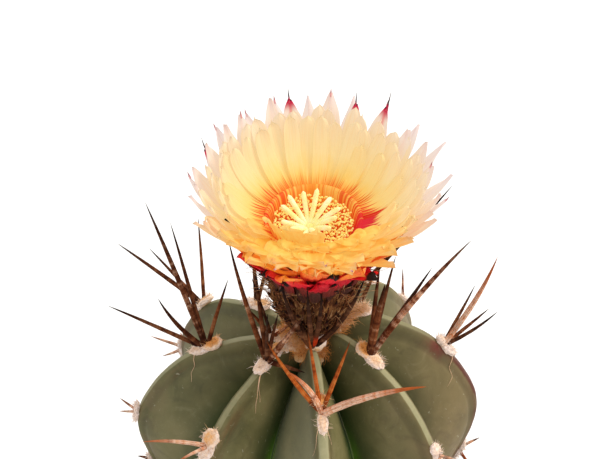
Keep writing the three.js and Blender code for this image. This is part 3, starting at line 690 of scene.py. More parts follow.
def tuft(bundle, middle, ways, sizes, tan, seed):
    """A lump of felt, rougher than a ball, with a paler rim."""
    across, down, out = ways
    corners, sides = FINE_BALL
    spots, tans = [], []
    for corner in corners:
        far = Vector((seed, 0, 0))
        rough = 1 + 0.16 * cloud.noise(corner * 2.1 + far) + 0.09 * cloud.noise(corner * 6 + far)
        rough += 0.05 * cloud.noise(corner * 15 + far)
        x, y, z = [share * size for share, size in zip(corner * rough, sizes)]
        spots.append(middle + across * x + down * y + out * z)
        rim = min(1, max(0, (hypot(corner.x, corner.y) - 0.55) / 0.35))
        tans.append(tan * (1 - 0.75 * rim) + 0.25 * cloud.noise(corner * 3 + far))
    bundle.add(spots, sides, tan=tans)


def hairs(bundle, luck, middle, ways, sizes, count, length, tan):
    """Short loose hairs round the rim of a lump of felt. Every third one on tan wool is thicker."""
    across, down, out = ways
    for number in range(count):
        turn = luck.uniform(0, 2 * pi)
        rise = luck.uniform(0.05, 1.1)
        level = cos(rise)
        shares = (cos(turn) * level, sin(turn) * level, sin(rise))
        way = across * shares[0] + down * shares[1] + out * shares[2]
        reaches = [share * size * HAIR_ROOT for share, size in zip(shares, sizes)]
        root = middle + across * reaches[0] + down * reaches[1] + out * reaches[2]
        drift = Vector([luck.uniform(-0.6, 0.6) for _ in range(3)])
        reach = length * luck.uniform(0.5, 1.3)
        path = [root, root + (way + 0.3 * drift) * reach * 0.5, root + (way + drift) * reach * 0.9]
        thick = HAIR_RADIUS * (1.9 if number % 3 == 0 and tan > 0.7 else 1)
        spots, sides = strand(path, [thick, thick * 0.85, thick * 0.25], 3)
        bundle.add(spots, sides, tan=tan + luck.uniform(-0.2, 0.2))


def woolly(bundle, luck, middle, ways, sizes, tan, seed, count, length, hair_tan):
    tuft(bundle, middle, ways, sizes, tan, seed)
    hairs(bundle, luck, middle, ways, sizes, count, length, hair_tan)


# The wool gets a faint glow of its own colour: painted light, for the light that passes through the hairs,
# which keeps it bright in shade.
wool = Finish(
    "areole_wool", Emission_Strength=0.1, Specular_IOR_Level=0.15, Sheen_Weight=0.1, Sheen_Roughness=0.5
)
here = wool.place()
tan = wool.mark("tan")
fuzz = wool.grain(here, 1400, 3, 0.75, 0.8)
felt = wool.grain(here, 380, 3, 0.6)
tuft_color = wool.ramp(
    0.85 * tan + 0.3 * felt - 0.1, (0.0, 240, 224, 216), (0.25, 240, 212, 186),
    (0.55, 230, 176, 118), (0.95, 222, 148, 74),
)
# The hollows between the fibres are painted a deeper brown: painted shade between the hairs.
painted_gap_shade_color = wool.blend(wool.band(tan, 0.7, 1.3), (150, 98, 66), (116, 56, 20))
painted_gap_shade = wool.band(fuzz, 0.52, 0.36) * (0.4 + 0.35 * wool.band(tan, 0.7, 1.3))
tuft_color = wool.blend(painted_gap_shade, tuft_color, painted_gap_shade_color)
wool.relief(fuzz + 0.6 * felt, 0.0003)
wool.ends(tuft_color, 0.9 + 0.1 * felt, Emission_Color=tuft_color)

for rib, (_, _, _, areole_stations) in enumerate(RIBS):
    luck = random.Random(50 + rib)
    felts = Bundle()
    for areole, station in enumerate(areole_stations):
        size = 1 if station < YOUNG_STATIONS else OLD_SIZE
        place, *ways = areole_frame(rib, station)
        across, down, out = ways
        tan = TAN.get((rib, areole), 0.55 if station < YOUNG_STATIONS else 0.12)
        own_pad, own_felt = SPECIAL.get((rib, areole), ({}, {}))
        pad, pale_felt = {"aside": 0, **PAD, **own_pad}, {"aside": 0, **FELT, **own_felt}
        for part, share, count in ((pad, tan, PAD_HAIRS), (pale_felt, tan * 0.3, FELT_HAIRS)):
            middle = place + across * part["aside"] - down * part["uphill"] * size + out * part["raised"] * size
            sizes = [part[way] * size for way in ("across", "along", "height")]
            seed = 10 * rib + areole + (0.5 if share < tan else 0)
            woolly(felts, luck, middle, ways, sizes, share, seed, count, 1.5 * size, share * 0.6)
        if (rib, areole) == FRINGED:
            middle = place - down * 3.4 + out * 1.2
            for k in range(FRINGE_HAIRS):
                root = middle + across * (k - (FRINGE_HAIRS - 1) / 2) * 0.34
                path = [root, root - down * 0.9 + out * 0.5, root - down * 1.6 + out * luck.uniform(0.8, 1.6)]
                felts.add(*strand(path, [0.17, 0.14, 0.05], 4), tan=0.1)
    if rib == COMB[0]:
        _, first, last, tufts, forward, lifted = COMB
        for k in range(tufts):
            share = k / (tufts - 1)
            place, *ways = areole_frame(rib, first + (last - first) * share)
            middle = place + Vector((0, -0.8 * forward, 0.6 * forward + lifted)) * (1 - share ** 3)
            sizes, hair_tan = (1.5, 1.2, 1.6), 1.2 - 0.8 * share
            woolly(felts, luck, middle, ways, sizes, 2.4 - 1.9 * share, 300 + k, 160, 2.6, hair_tan)
    for thread_rib, areole, side, share, hang in THREADS:
        if thread_rib == rib:
            start = areole_stations[areole] + 0.3
            path = []
            for k in range(THREAD_STEPS + 1):
                t = k / THREAD_STEPS
                sway = 0.03 * sin(7 * t + areole + side) * t
                spot = stem_spot(rib, side, 0.1 + (share - 0.1) * t + sway, start + hang * t)[0]
                away = Vector((spot.x, spot.y, 0)).normalized()
                path.append(spot + away * (0.45 + 0.15 * sin(9 * t)))
            radii = [0.12 - 0.08 * k / THREAD_STEPS for k in range(THREAD_STEPS + 1)]
            felts.add(*strand(path, radii, 4), tan=0.4)
    nodes = [f"areole_rib_{rib + 1}_{areole + 1}" for areole in range(len(areole_stations))]
    felts.made(f"rib_{rib + 1}_areole_wool", wool, nodes)

# The spines: stout, stiff and faintly angular, ridged lengthwise. Most are red-brown with black tips and
# feet; some are still orange, and a few old ones have bleached to a banded peach white.
# Each: length, heading from the front, rise, radius at the root, bow, how orange, how bleached
SPINES = {
    (0, 0): [
        (43, -26, 62, 1.1, -2, 0, 0), (44, -4, 62, 0.9, -2, 0, 0), (41, 8, 62, 0.9, -2, 0, 0),
        (43, 45, 61, 1.05, -2.2, 0, 0), (20, -19, 59, 1.2, -1, 0.1, 0),
    ],
    (0, 1): [
        (21, -74, 61, 1.05, 1.6, 0.5, 0.75), (26, -122, 45, 0.8, -1.2, 0.9, 0),
        (24, -158, 64, 0.8, 0, 0.8, 0.1), (23, 135, 60, 0.85, 0, 0.75, 0), (33, 82, 25, 1.25, 1.9, 0.4, 0.95),
    ],
    (1, 0): [
        (27, 169, 53, 0.9, 0, 0.1, 0.05), (26, 113, 80, 1.5, 0, 0.15, 0.12), (31, 160, 40, 0.8, 0, 0.1, 0),
        (32, 126, 45, 0.95, 0, 0, 0), (48, 105, 51, 1.15, 1.5, 0.2, 0.27),
    ],
    (1, 1): [(8, 60, 10, 0.6, 0, 0.2, 0.5), (6, 30, -10, 0.5, 0, 0.2, 0.5)],
    (2, 0): [(12, 140, 48, 0.8, 0, 0, 0)],
    (2, 1): [
        (34, 109, 61, 1.05, -1.5, 0.45, 0.8), (21, 128, 55, 0.7, 0, 0.1, 0), (18, 123, 23, 0.7, 0, 0.1, 0.1),
        (21, 86, 42, 0.7, -1, 0, 0),
    ],
    (3, 0): [(42, 102, 51, 0.8, 0, 0, 0), (18, 160, 60, 0.7, 0, 0, 0), (20, -160, 50, 0.7, 0, 0, 0)],
    (3, 1): [(10, 180, 53, 0.45, 0, 0.4, 0.3)],
    (5, 0): [(22, -170, 70, 0.8, 0, 0, 0), (18, 150, 60, 0.7, 0, 0, 0)],
    (5, 1): [(28, -173, 63, 0.7, 0, 0.2, 0), (34, -114, 27, 0.85, 0.5, 0.1, 0), (25, -119, 38, 0.7, 0, 0.1, 0)],
    (6, 0): [(15, -62, 60, 0.7, 0, 0.3, 0), (13, 40, 50, 0.7, 0, 0.4, 0.2), (24, -75, 76, 0.6, 0, 0, 0)],
    (6, 1): [
        (51, -124, 66, 1.05, 0, 0.1, 0.15), (41, -143, 65, 0.85, 0, 0.1, 0), (32, -98, 24, 0.8, 0, 0.1, 0),
        (24, -85, 56, 0.9, -1.5, 0.1, 0), (22, 140, 63, 0.8, 0.5, 0.2, 0),
    ],
    (6, 2): [(5, -80, 10, 0.5, 0, 0.2, 0.6), (6, -110, 30, 0.5, 0, 0.3, 0.5)],
    (7, 0): [
        (41, -132, 69, 0.95, -1, 0.2, 0.1), (32, -159, 71, 0.9, 0, 0.1, 0), (27, 5, 71, 0.7, 0, 0, 0),
        (26, 25, 71, 0.8, 0, 0.1, 0), (29, 50, 60, 1.1, 0, 0.2, 0.25), (14, 53, 11, 0.9, 0, 0.1, 0),
    ],
    (7, 1): [(20, -76, 17, 0.75, 1, 0.35, 0.7), (14, -39, 15, 0.6, 0.5, 0.35, 0.7)],
}
# The one spine whose foot is still orange red: rib, areole, spine
EMBER = (0, 0, 2)
ROOT_SUNK = 1.2
ROOT_ACROSS, ROOT_ALONG, ROOT_RAISED = 1.1, 1.8, 1
REACH_LIMIT = 64.5
SPINE_SIDES, SPINE_STEPS = 10, 22
SPINE_RIDGE, SPINE_FLATNESS, SPINE_END = 0.1, 0.88, 0.997
FAN_ACROSS, FAN_ALONG, FAN_LONGEST, FAN_SHORTEST = 0.85, 0.75, 34, 9
OLD_STATIONS = 10


def dice(seed):
    """A repeatable random number from 0 to 1 for each seed, the same as in the part's source."""
    wave = sin(seed * 12.9898) * 43758.5453
    return wave - floor(wave)


def direction(heading, rise):
    turn, lift = radians(heading), radians(rise)
    return around(cos(lift), sin(lift), turn)


def along_strand(values, sides):
    """One value for each corner of a strand, from its values along the way."""
    return [value for value in values for _ in range(sides)]


def fan_of_spines(rib, areole, station):
    """Areoles away from the side that is seen: a few spines fan out, shorter towards the foot."""
    _, across, down, out = areole_frame(rib, station)
    young = station < YOUNG_STATIONS
    count = 4 if young else 2 if station > OLD_STATIONS else 3
    spines = []
    for i in range(count):
        seed = 100 * rib + 10 * areole + i + 1
        turn = 2 * pi * (i + 0.5 * dice(seed)) / count
        aim = out + across * FAN_ACROSS * sin(turn) - down * FAN_ALONG * cos(turn)
        longest = FAN_LONGEST + (FAN_SHORTEST - FAN_LONGEST) * (min(station, 8) - 2) / 6
        length = longest * (0.7 + 0.5 * dice(seed + 50))
        bow = dice(seed + 70) - 0.5
        bleached = max(0, dice(seed + 90) - (0.6 if young else 0.3))
        spines.append((aim.normalized(), length, 0.8 if young else 0.6, bow, 0.5 * dice(seed + 80), bleached))
    return spines


horn = Finish("spine_horn", Specular_IOR_Level=0.05)
along, reach, warm, pale, ridge, seed = [
    horn.mark(name) for name in ("along", "reach", "warm", "pale", "ridge", "seed")
]
bands = horn.grain(horn.along(reach * 0.42, seed * 40, ridge * 0.25), 1, 3, 0.6)
specks = horn.grain(horn.along(reach * 0.9, seed * 31, ridge * 2.5), 1, 3, 0.7)
streaks = horn.grain(horn.along(reach * 0.12, seed * 17, ridge * 3), 2, 3)
brown = horn.ramp(bands, (0.36, 52, 28, 17), (0.5, 92, 54, 34), (0.62, 130, 84, 56), (0.76, 164, 120, 90))
amber = horn.ramp(bands, (0.34, 150, 62, 22), (0.5, 202, 100, 38), (0.68, 226, 140, 66))
bleached = horn.ramp(specks, (0.36, 206, 118, 76), (0.46, 238, 188, 152), (0.6, 252, 230, 208))
bleached = horn.blend(horn.band(streaks, 0.42, 0.62) * warm * 1.5, bleached, amber)
black_tip = horn.band(along - 0.3 * warm + 0.24 * (bands - 0.5), 0.42, 1.0) * (1 - 0.72 * pale)
amber_tip = horn.band(along + 0.3 * (bands - 0.5), 0.5, 0.85) * horn.band(pale, 0.5, 0.8)
foot = horn.band(along + 0.2 * (bands - 0.5), 0.24, 0.08) * (1 - pale) * 0.6
ember = horn.mark("ember") * horn.band(along, 0.36, 0.2) * horn.band(along, 0.06, 0.14)
color = horn.coats(
    horn.blend(warm, brown, amber),
    (horn.band(bands + 0.62 * pale, 0.58, 0.92) * horn.band(pale, 0.0, 0.2), bleached),
    (black_tip, (24, 12, 9)),
    (amber_tip, (186, 96, 48)),
    (foot, (36, 16, 12)),
    # The grooves between the ridges are painted darker: painted shade that sets off the ridges.
    (horn.band(ridge, 0.35, 0.0) * 0.35, (22, 12, 10)),
    (ember * 0.9, (206, 56, 14)),
)
horn.relief(streaks + 0.4 * bands, 0.0002)
horn.ends(color, 0.56 + 0.3 * streaks + 0.1 * pale)

for rib, (_, _, _, areole_stations) in enumerate(RIBS):
    stout = Bundle()
    for areole, station in enumerate(areole_stations):
        place, across, down, out = areole_frame(rib, station)
        if (rib, areole) in SPINES:
            spines = [
                (direction(heading, rise), length, radius, bow, warm, pale)
                for length, heading, rise, radius, bow, warm, pale in SPINES[rib, areole]
            ]
        else:
            spines = fan_of_spines(rib, areole, station)
        for number, (aim, length, radius, bow, warm, pale) in enumerate(spines):
            root = place + out * ROOT_RAISED + across * ROOT_ACROSS * aim.dot(across)
            root += down * ROOT_ALONG * aim.dot(down) - aim * ROOT_SUNK
            tip = root + aim * length
            over = max(abs(tip.x), abs(tip.y)) - REACH_LIMIT
            if over > 0:
                length -= over / max(abs(aim.x), abs(aim.y))
            length += ROOT_SUNK
            lean = Vector((0, 0, 1)).cross(aim).normalized()
            above = aim.cross(lean)
            seed = dice(100 * rib + 10 * areole + number + 400)
            path, radii, shares = [], [], []
            for step in range(SPINE_STEPS + 1):
                t = (step / SPINE_STEPS) ** 0.9 * SPINE_END
                waver = 0.12 * sin(5 * t + 9 * seed) * length / 30
                path.append(root + aim * t * length + above * bow * 4 * t * (1 - t) + lean * waver * t)
                node = 1 + 0.05 * sin(t * length * 1.1 + 20 * seed) * (1 - t)
                radii.append(radius * 1.06 * (1 - t ** 2.2) ** 0.8 * node)
                shares.append(t)
            points, faces = strand(path, radii, SPINE_SIDES, SPINE_RIDGE, SPINE_FLATNESS)
            stout.add(
                points, faces, along=along_strand(shares, SPINE_SIDES), warm=warm, pale=pale, seed=seed,
                reach=along_strand([t * length for t in shares], SPINE_SIDES),
                ridge=[1.0 - k % 2 for k in range(len(points))],
                ember=1.0 if (rib, areole, number) == EMBER else 0.0,
            )
    nodes = [f"areole_rib_{rib + 1}_{areole + 1}" for areole in range(len(areole_stations))]
    stout.made(f"rib_{rib + 1}_spines", horn, nodes)

# The crown: tan wool packed round the foot of the flower, out of which the youngest ribs grow. Its clumps
# are felted from fine hairs, which stay rooted in the sunken top of the stem.
FLOWER_FOOT = Vector((1.5, 0, 190.2))
FLOWER_TILT = 10
CROWN_WOOL = {"radius": 8.8, "half_height": 6.4, "raised": 2.4}
CROWN_TUFTS = 26
CROWN_HAIRS = 3000
# The wool also creeps up the right side of the flower's foot, towards the areole there
SIDE_WOOL = [
    (5.8, -2.8, 193.3), (7.6, -3.7, 197.2), (9.8, -4.3, 201.1),
    (12.2, -4.7, 204.6), (14.6, -4.0, 206.4), (17.0, -2.6, 206.8),
]
SIDE_TUFTS = 15

luck = random.Random(7)
crown = Bundle()
upright = (Vector((1, 0, 0)), Vector((0, 1, 0)), Vector((0, 0, 1)))
middle = FLOWER_FOOT + Vector((0, 0, CROWN_WOOL["raised"]))
sizes = (CROWN_WOOL["radius"], CROWN_WOOL["radius"], CROWN_WOOL["half_height"])
tuft(crown, middle, upright, sizes, 2.2, 90)
for k in range(CROWN_TUFTS):
    turn = 2 * pi * (k + luck.uniform(0, 0.6)) / CROWN_TUFTS
    reach = CROWN_WOOL["radius"] * luck.uniform(0.78, 0.98)
    spot = middle + around(reach, luck.uniform(2, 5), turn)
    small = luck.uniform(0.5, 1.0)
    tuft(crown, spot, upright, (small, small, small * 1.7), luck.uniform(1.7, 2.4), 100 + k)
hairs(crown, luck, middle, upright, [size * 1.07 for size in sizes], CROWN_HAIRS, 3.0, 1.1)
for k in range(SIDE_TUFTS):
    share = k / (SIDE_TUFTS - 1)
    spot = Vector(on_curve(SIDE_WOOL, share)) + Vector((0, 0, luck.uniform(-0.4, 0.4)))
    small = luck.uniform(1.1, 1.4) - 0.35 * share
    sizes = (small, small, small * 1.2)
    woolly(crown, luck, spot, upright, sizes, 1.9 - 1.6 * share ** 2, 140 + k, 130, 2.4, 1.1 - 0.7 * share)
crown.made("crown_wool_tufts", wool, ["crown_wool"])

# The foot of the flower: a plump funnel shaggy with bristly wool and narrow dark-tipped scales, and round
# its top six rings of broad crimson scales with green-black points. It leans a little to the front.
TUBE = [
    (0, 2.2), (3.2, 2.2), (4.5, 6), (6.5, 10.5), (9.1, 15.5), (11.2, 20), (12.8, 26),
    (13.6, 33), (13.4, 40), (12.6, 43.6), (0, 43.6),
]
TUBE_SIDES, TUBE_STEPS = 96, 4
BRISTLE_SCALES, BRISTLES, LONG_HAIRS = 300, 1500, 260
# Low down the bristles are shorter where the sine of the azimuth is past this, on the right
BARE_SIDE = 0.6


def row_of(count, root, bend, tip, width, point, **more):
    """A ring of scales or petals: how many, the bent line that each follows at the back as distances from
    the axis and heights, its width and how blunt its point is. What else may set it apart: the bend and tip
    at the front, how broad the front ones are, how they taper, how uneven the tips are, how wide the foot."""
    return {"count": count, "root": root, "bend": bend, "tip": tip, "width": width, "point": point, **more}


RED_SCALES = [
    row_of(20, (13.2, 35), (15.4, 39), (17, 45.5), 3.2, 0.06),
    row_of(18, (13.1, 37), (16.6, 42), (18.8, 49), 5.0, 0.06),
    row_of(17, (12.9, 40), (18, 45), (22, 53.5), 6.2, 0.05),
    row_of(16, (12.7, 42.5), (20, 48.5), (25.8, 59), 6.6, 0.05),
    row_of(17, (12.6, 44.5), (20.5, 50.5), (25.5, 61.5), 6.8, 0.05, front=((22, 52), (29, 66.8))),
    row_of(20, (12.9, 46.6), (20, 51.6), (24.5, 59.6), 6.6, 0.05, front=((22, 54.4), (28.4, 66.4))),
]
flower_place = Matrix.Translation(FLOWER_FOOT) @ Matrix.Rotation(radians(FLOWER_TILT), 4, "X")


def tube_radius(height):
    for (low_r, low_h), (high_r, high_h) in zip(TUBE, TUBE[1:]):
        if low_h <= height < high_h:
            return low_r + (high_r - low_r) * (height - low_h) / (high_h - low_h)
    return 0


def on_flower(points):
    return [flower_place @ Vector(point) for point in points]


def sprout(bundle, path, radii, sides, places, flatness=1.0, **marks):
    """A strand that grows on the flower, with its place along the way as a mark."""
    points, faces = strand(on_flower(path), radii, sides, 0.0, flatness)
    bundle.add(points, faces, along=along_strand(places, sides), **marks)


outline = [TUBE[0]]
for (low_r, low_h), (high_r, high_h) in zip(TUBE[1:-2], TUBE[2:-1]):
    for k in range(TUBE_STEPS):
        outline.append((low_r + (high_r - low_r) * k / TUBE_STEPS, low_h + (high_h - low_h) * k / TUBE_STEPS))
outline += [TUBE[-2], TUBE[-1]]
points, faces = turned(outline, TUBE_SIDES, closed=False)
shaggy = []
for point in points:
    spot = Vector(point)
    rough = 0.5 * cloud.noise(Vector((spot.x, spot.y, spot.z * 0.3)) * 0.9) + 0.2 * cloud.noise(spot * 2.2)
    shaggy.append(spot + Vector((spot.x, spot.y, 0)).normalized() * (rough - 0.2))
tube = Bundle()
tube.add(on_flower(shaggy), faces, kind=0.0, along=0.0)
luck = random.Random(21)
for k in range(BRISTLE_SCALES):
    height = 4.5 + 35 * ((k + luck.random()) / BRISTLE_SCALES)
    turn = k * radians(137.5) + luck.uniform(-0.1, 0.1)
    reach = tube_radius(height)
    root = around(reach - 0.5, height, turn)
    lean = luck.uniform(0.25, 0.65) - (0.25 if height > 28 else 0)
    length = luck.uniform(3.6, 6.2) * min(1, 0.4 + height / 36)
    length *= 0.6 if height < 20 and sin(turn) > BARE_SIDE else 1
    tip = root + around(lean, 1, turn).normalized() * length
    sway = Vector((luck.uniform(-0.5, 0.5), luck.uniform(-0.5, 0.5), 0))
    bulge = [root.lerp(tip, share) + around(swell, 0, turn) for share, swell in ((0.4, 0.35), (0.75, 0.3))]
    path = [root, *bulge, tip + sway]
    sprout(tube, path, [0.85, 0.75, 0.42, 0.05], 5, (0, 0.4, 0.75, 1), 0.45, kind=0.5)
for k in range(BRISTLES):
    height = luck.uniform(3, 44)
    turn = luck.uniform(0, 2 * pi)
    root = around(tube_radius(height) - 0.2, height, turn)
    way = around(luck.uniform(0.2, 1.0), 1, turn + luck.uniform(-0.25, 0.25)).normalized()
    length = luck.uniform(2.2, 5.2) * (1.6 if k % 7 == 0 else 1) * min(1, 0.4 + height / 36)
    length *= 0.5 if height < 22 and sin(turn) > BARE_SIDE else 1
    sway = Vector([luck.uniform(-0.8, 0.8) for _ in range(3)])
    path = [root, root + way * length * 0.5, root + way * length + sway]
    sprout(tube, path, [0.13, 0.1, 0.03], 3, (0, 0.5, 1), kind=luck.uniform(0.8, 1.2))
for k in range(LONG_HAIRS):
    height = luck.uniform(22, 41)
    turn = luck.uniform(0.3, 2.4) * (1 if k % 3 else -1)
    root = around(tube_radius(height) - 0.2, height, turn)
    way = around(luck.uniform(0.5, 1.1), luck.uniform(0.4, 1), turn + luck.uniform(-0.5, 0.5)).normalized()
    length = luck.uniform(5, 9)
    if k % 2:
        root = around(luck.uniform(14.8, 17.2), luck.uniform(37, 43), turn)
    droop = Vector([luck.uniform(-1.5, 1.5) for _ in range(3)])
    way = way * length
    path = [root, root + way * 0.4, root + way * 0.75 + droop * 0.4, root + way + droop]
    sprout(tube, path, [0.1, 0.09, 0.07, 0.03], 3, (1, 1, 1, 1), kind=1.0)


def blade(columns, rows, place):
    """A leaf-like blade with two faces and a rim. place(u, v, side) gives a point and its marks."""
    points, marks = [], {}
    for side in (1, -1):
        for j in range(rows + 1):
            for i in range(columns + 1):
                point, own = place(2 * i / columns - 1, j / rows, side)
                points.append(point)
                for mark, value in own.items():
                    marks.setdefault(mark, []).append(value)
    width = columns + 1
    corners = width * (rows + 1)
    faces = []
    for j in range(rows):
        for i in range(columns):
            a, b, c, d = j * width + i, j * width + i + 1, (j + 1) * width + i + 1, (j + 1) * width + i
            faces += [[a, b, c, d], [a + corners, d + corners, c + corners, b + corners]]
    rim = list(range(columns)) + [j * width + columns for j in range(rows)]
    rim += [rows * width + i for i in range(columns, 0, -1)] + [j * width for j in range(rows, 0, -1)]
    for here, after in zip(rim, rim[1:] + rim[:1]):
        faces.append([here, here + corners, after + corners, after])
    return points, faces, marks


def petal(row, turn, seed, columns, rows, thickness, frill):
    """A petal or scale follows a bent line in the plane of its azimuth, and is widest past its middle."""
    front = max(0.0, cos(turn) * 0.9 + 0.1)
    front = front * front * (3 - 2 * front)
    root, bend, tip = [Vector(row[name]) for name in ("root", "bend", "tip")]
    if "front" in row:
        bend, tip = bend.lerp(Vector(row["front"][0]), front), tip.lerp(Vector(row["front"][1]), front)
    uneven = row.get("uneven", 1)
    tip += Vector((2 * dice(seed) - 1, 2 * dice(seed + 31) - 1)) * uneven
    tip += Vector((1.5, 0)) * max(0, sin(turn)) ** 2 * uneven
    width = row["width"] * (1 + 0.28 * uneven * (dice(seed + 37) - 0.5)) * (1 + row.get("broad", 0) * front)
    twist = 0.3 * (dice(seed + 3) - 0.5) * frill
    wave = 9 * dice(seed + 5)
    lean = (dice(seed + 9) - 0.5) * 1.4
    curl = frill * 2.2 * (dice(seed + 17) - 0.35)
    foot = row.get("foot", 0.5)
    radial, sideways = around(1, 0, turn), around(1, 0, turn + pi / 2)

    def place(u, v, side):
        t = v ** 0.85
        spot = root * (1 - t) ** 2 + bend * 2 * t * (1 - t) + tip * t * t
        run = ((bend - root) * (1 - t) + (tip - bend) * t).normalized()
        past = max(0, (t - 0.66) / 0.34)
        spot += Vector((run.y, -run.x)) * curl * max(0, (t - 0.5) / 0.5) ** 2
        belly = foot + (1 - foot) * sin(min(1, t / 0.66) * pi / 2)
        half = width / 2 * belly * (1 - (1 - row["point"]) * past ** row.get("taper", 2.2))
        if row["point"] > 0.3:
            half *= sqrt(max(0.0, 1 - max(0, (t - 0.88) / 0.12) ** 2)) * 0.98 + 0.02
            tooth = 0.7 * exp(-(u / 0.2) ** 2) - 0.6 * (0.5 + 0.5 * sin(u * 8 + wave))
            spot += run * tooth * frill * past ** 2
        else:
            half *= 1 + 0.1 * sin(t * 23 + wave + u) * past
        ripple = 0.4 * sin(u * 3 + wave) * past + 0.26 * sin(5.5 * t + wave) * u * t
        ripple += 0.05 * cos(u * pi * 4) * min(1, 4 * t)
        raised = (half * u) ** 2 / (2 * max(spot.x, 8)) + 0.03 * half * u * u
        raised += frill * ripple * (1 + 1.4 * front) + twist * u * half * t
        raised += row.get("shift", 0) * min(1, 3 * t)
        raised += side * thickness / 2 * (1 - 0.75 * u * u) * (1 - 0.5 * past)
        flat = Vector((spot.x - run.y * raised, spot.y + run.x * raised))
        point = radial * flat.x + Vector((0, 0, flat.y)) + sideways * (u * half + lean * t * t * 2)
        return flower_place @ point, {"along": t, "across": u, "front": front}

    return blade(columns, rows, place)


scales = Finish("tube_scales_and_bristles", Specular_IOR_Level=0.1)
here = scales.place()
kind, along = scales.mark("kind"), scales.mark("along")
mottle = scales.grain(here, 260, 3)
fibre = scales.grain(scales.place((1, 1, 0.25)), 900, 3, 0.7)
bark = scales.ramp(0.5 * mottle + 0.5 * fibre, (0.34, 44, 22, 14), (0.5, 98, 56, 32), (0.64, 168, 118, 70))
leaf = scales.ramp(along, (0.0, 126, 80, 44), (0.45, 98, 52, 32), (0.68, 46, 20, 14), (1.0, 22, 10, 8))
hair = scales.ramp(mottle, (0.35, 120, 70, 38), (0.5, 172, 116, 68), (0.65, 224, 178, 130))
color = scales.coats(bark, (scales.band(kind, 0.2, 0.4), leaf), (scales.band(kind, 0.6, 0.75), hair))
scales.relief(fibre + mottle, 0.0004)
scales.ends(color, 0.85 + 0.1 * mottle)
tube.made("flower_tube_bristles", scales, ["flower_tube"])

# The scales get a faint glow of their own colour: painted light that keeps them bright under the petals.
crimson = Finish("crimson_scale", Specular_IOR_Level=0.2, Emission_Strength=0.12)
along, across = crimson.mark("along"), crimson.mark("across")
here = crimson.place()
blotch = crimson.grain(here, 190, 3, 0.6)
vein = crimson.grain(crimson.along(across * 3, along * 0.5, blotch), 3, 3)
# The colour runs from brown on the lowest ring through crimson to orange on the top ones, darker towards the
# foot of each scale: partly the scales' own colour and partly painted shade under the rings above them and the
# petals.
tone = crimson.mark("ring") + 0.24 * (along - 0.6) + 0.3 * (blotch - 0.5)
dark = crimson.band(along + 0.12 * blotch, 0.9, 0.97) * crimson.mark("dark")
red = crimson.coats(
    crimson.ramp(
        tone, (0.02, 78, 42, 32), (0.2, 122, 40, 32), (0.4, 188, 16, 34),
        (0.66, 222, 24, 44), (0.86, 238, 84, 46), (1.0, 250, 158, 52),
    ),
    (dark, (34, 26, 20)),
    (crimson.band(vein, 0.56, 0.7) * 0.35, (120, 14, 24)),
)
crimson.relief(vein + 0.8 * blotch, 0.0006)
crimson.ends(red, 0.5 + 0.15 * vein, Emission_Color=red)
ruff = Bundle()
for ring, row in enumerate(RED_SCALES):
    for i in range(row["count"]):
        turn = 2 * pi * (i + 0.5 * ring + 0.3 * dice(540 + 20 * ring + i)) / row["count"]
        shape = {"uneven": 1.6, "shift": 0.8 * (i % 2) - 0.4, **row}
        points, faces, marks = petal(shape, turn, 500 + 20 * ring + i, 8, 14, 0.6, 1.3)
        dark = 1.0 if ring < 2 or dice(560 + 20 * ring + i) < 0.6 - 0.1 * ring else 0.0
        ruff.add(points, faces, **marks, ring=ring / 4.6, dark=dark)
ruff.made("flower_tube_red_scales", crimson, ["flower_tube"])

# The petals: thin, silky and veined, in five overlapping whorls round the rim of the throat. The inner ones
# are golden yellow with round toothed tips, the outer ones pale and pointed, some with magenta or black tips.
# They let the light through, which a faint glow of their own colour stands for here and in the stamens.
WHORLS = [
    row_of(28, (13.4, 56.6), (22.5, 57.4), (24, 67.6), 5.6, 0.7, front=((14.6, 62.8), (19.4, 64)), broad=0.7),
    row_of(36, (13.6, 55.5), (26, 57), (27.6, 71.4), 5.2, 0.72, front=((17.5, 61.8), (25, 65.8)), broad=1.0),
    row_of(38, (13.6, 53.2), (29.3, 56.6), (31.2, 72.2), 5.6, 0.66, front=((20, 61), (29, 68.4)), broad=0.9),
    row_of(
        24, (13.1, 50.8), (30.5, 56.4), (35, 73), 7.2, 0.12,
        front=((21.5, 60), (32, 70.2)), taper=1.7, broad=0.15,
    ),
    row_of(
        22, (12.4, 48.4), (30, 55.4), (37.2, 71.6), 6.0, 0.04,
        front=((22, 58.5), (33, 71)), taper=1.3, uneven=2.2,
    ),
]
# A few petals of the innermost whorl stand up before the stamens: azimuth, tip, width
STANDING_PETALS = [(-0.02, (14.2, 68.2), 6.4), (-0.5, (15.4, 67.6), 7.6), (-0.95, (16.4, 67.0), 7.6)]
# The wall of the throat, from the outside over its rim and down to the floor
CUP = [
    (10.5, 44.4), (13.2, 48.6), (14.4, 53.6), (14.6, 57), (14.1, 57.3), (13.5, 56.9), (13.1, 56),
    (12.8, 54.6), (12.5, 52.8), (11.6, 50.4), (10.4, 48.6), (8, 46.2), (0, 46.2), (0, 44.2),
]
CUP_SIDES = 96
PETAL_COLUMNS, PETAL_ROWS = 12, 24
PETAL_THICKNESS = 0.34
MAGENTA_SHARE = 0.26
# The side of the throat that is crimson: its azimuth and how far it reaches to each side
CRIMSON_TURN, CRIMSON_REACH = 1.35, 0.55
# Where the colours of a petal lie along it, and for each whorl what they are
GOLD_PLACES = (0.0, 0.24, 0.55, 0.95)
GOLDS = [
    ((252, 160, 46), (253, 205, 102), (253, 219, 140), (253, 221, 156)),
    ((252, 162, 48), (253, 211, 114), (253, 225, 160), (252, 225, 178)),
    ((252, 166, 52), (253, 215, 126), (252, 226, 172), (251, 227, 194)),
    ((252, 172, 64), (251, 214, 146), (250, 224, 188), (248, 230, 218)),
    ((250, 180, 84), (249, 216, 166), (248, 227, 206), (247, 234, 228)),
]



def crimson_share(turn):
    return max(0.0, 1 - abs(turn - CRIMSON_TURN) / CRIMSON_REACH)


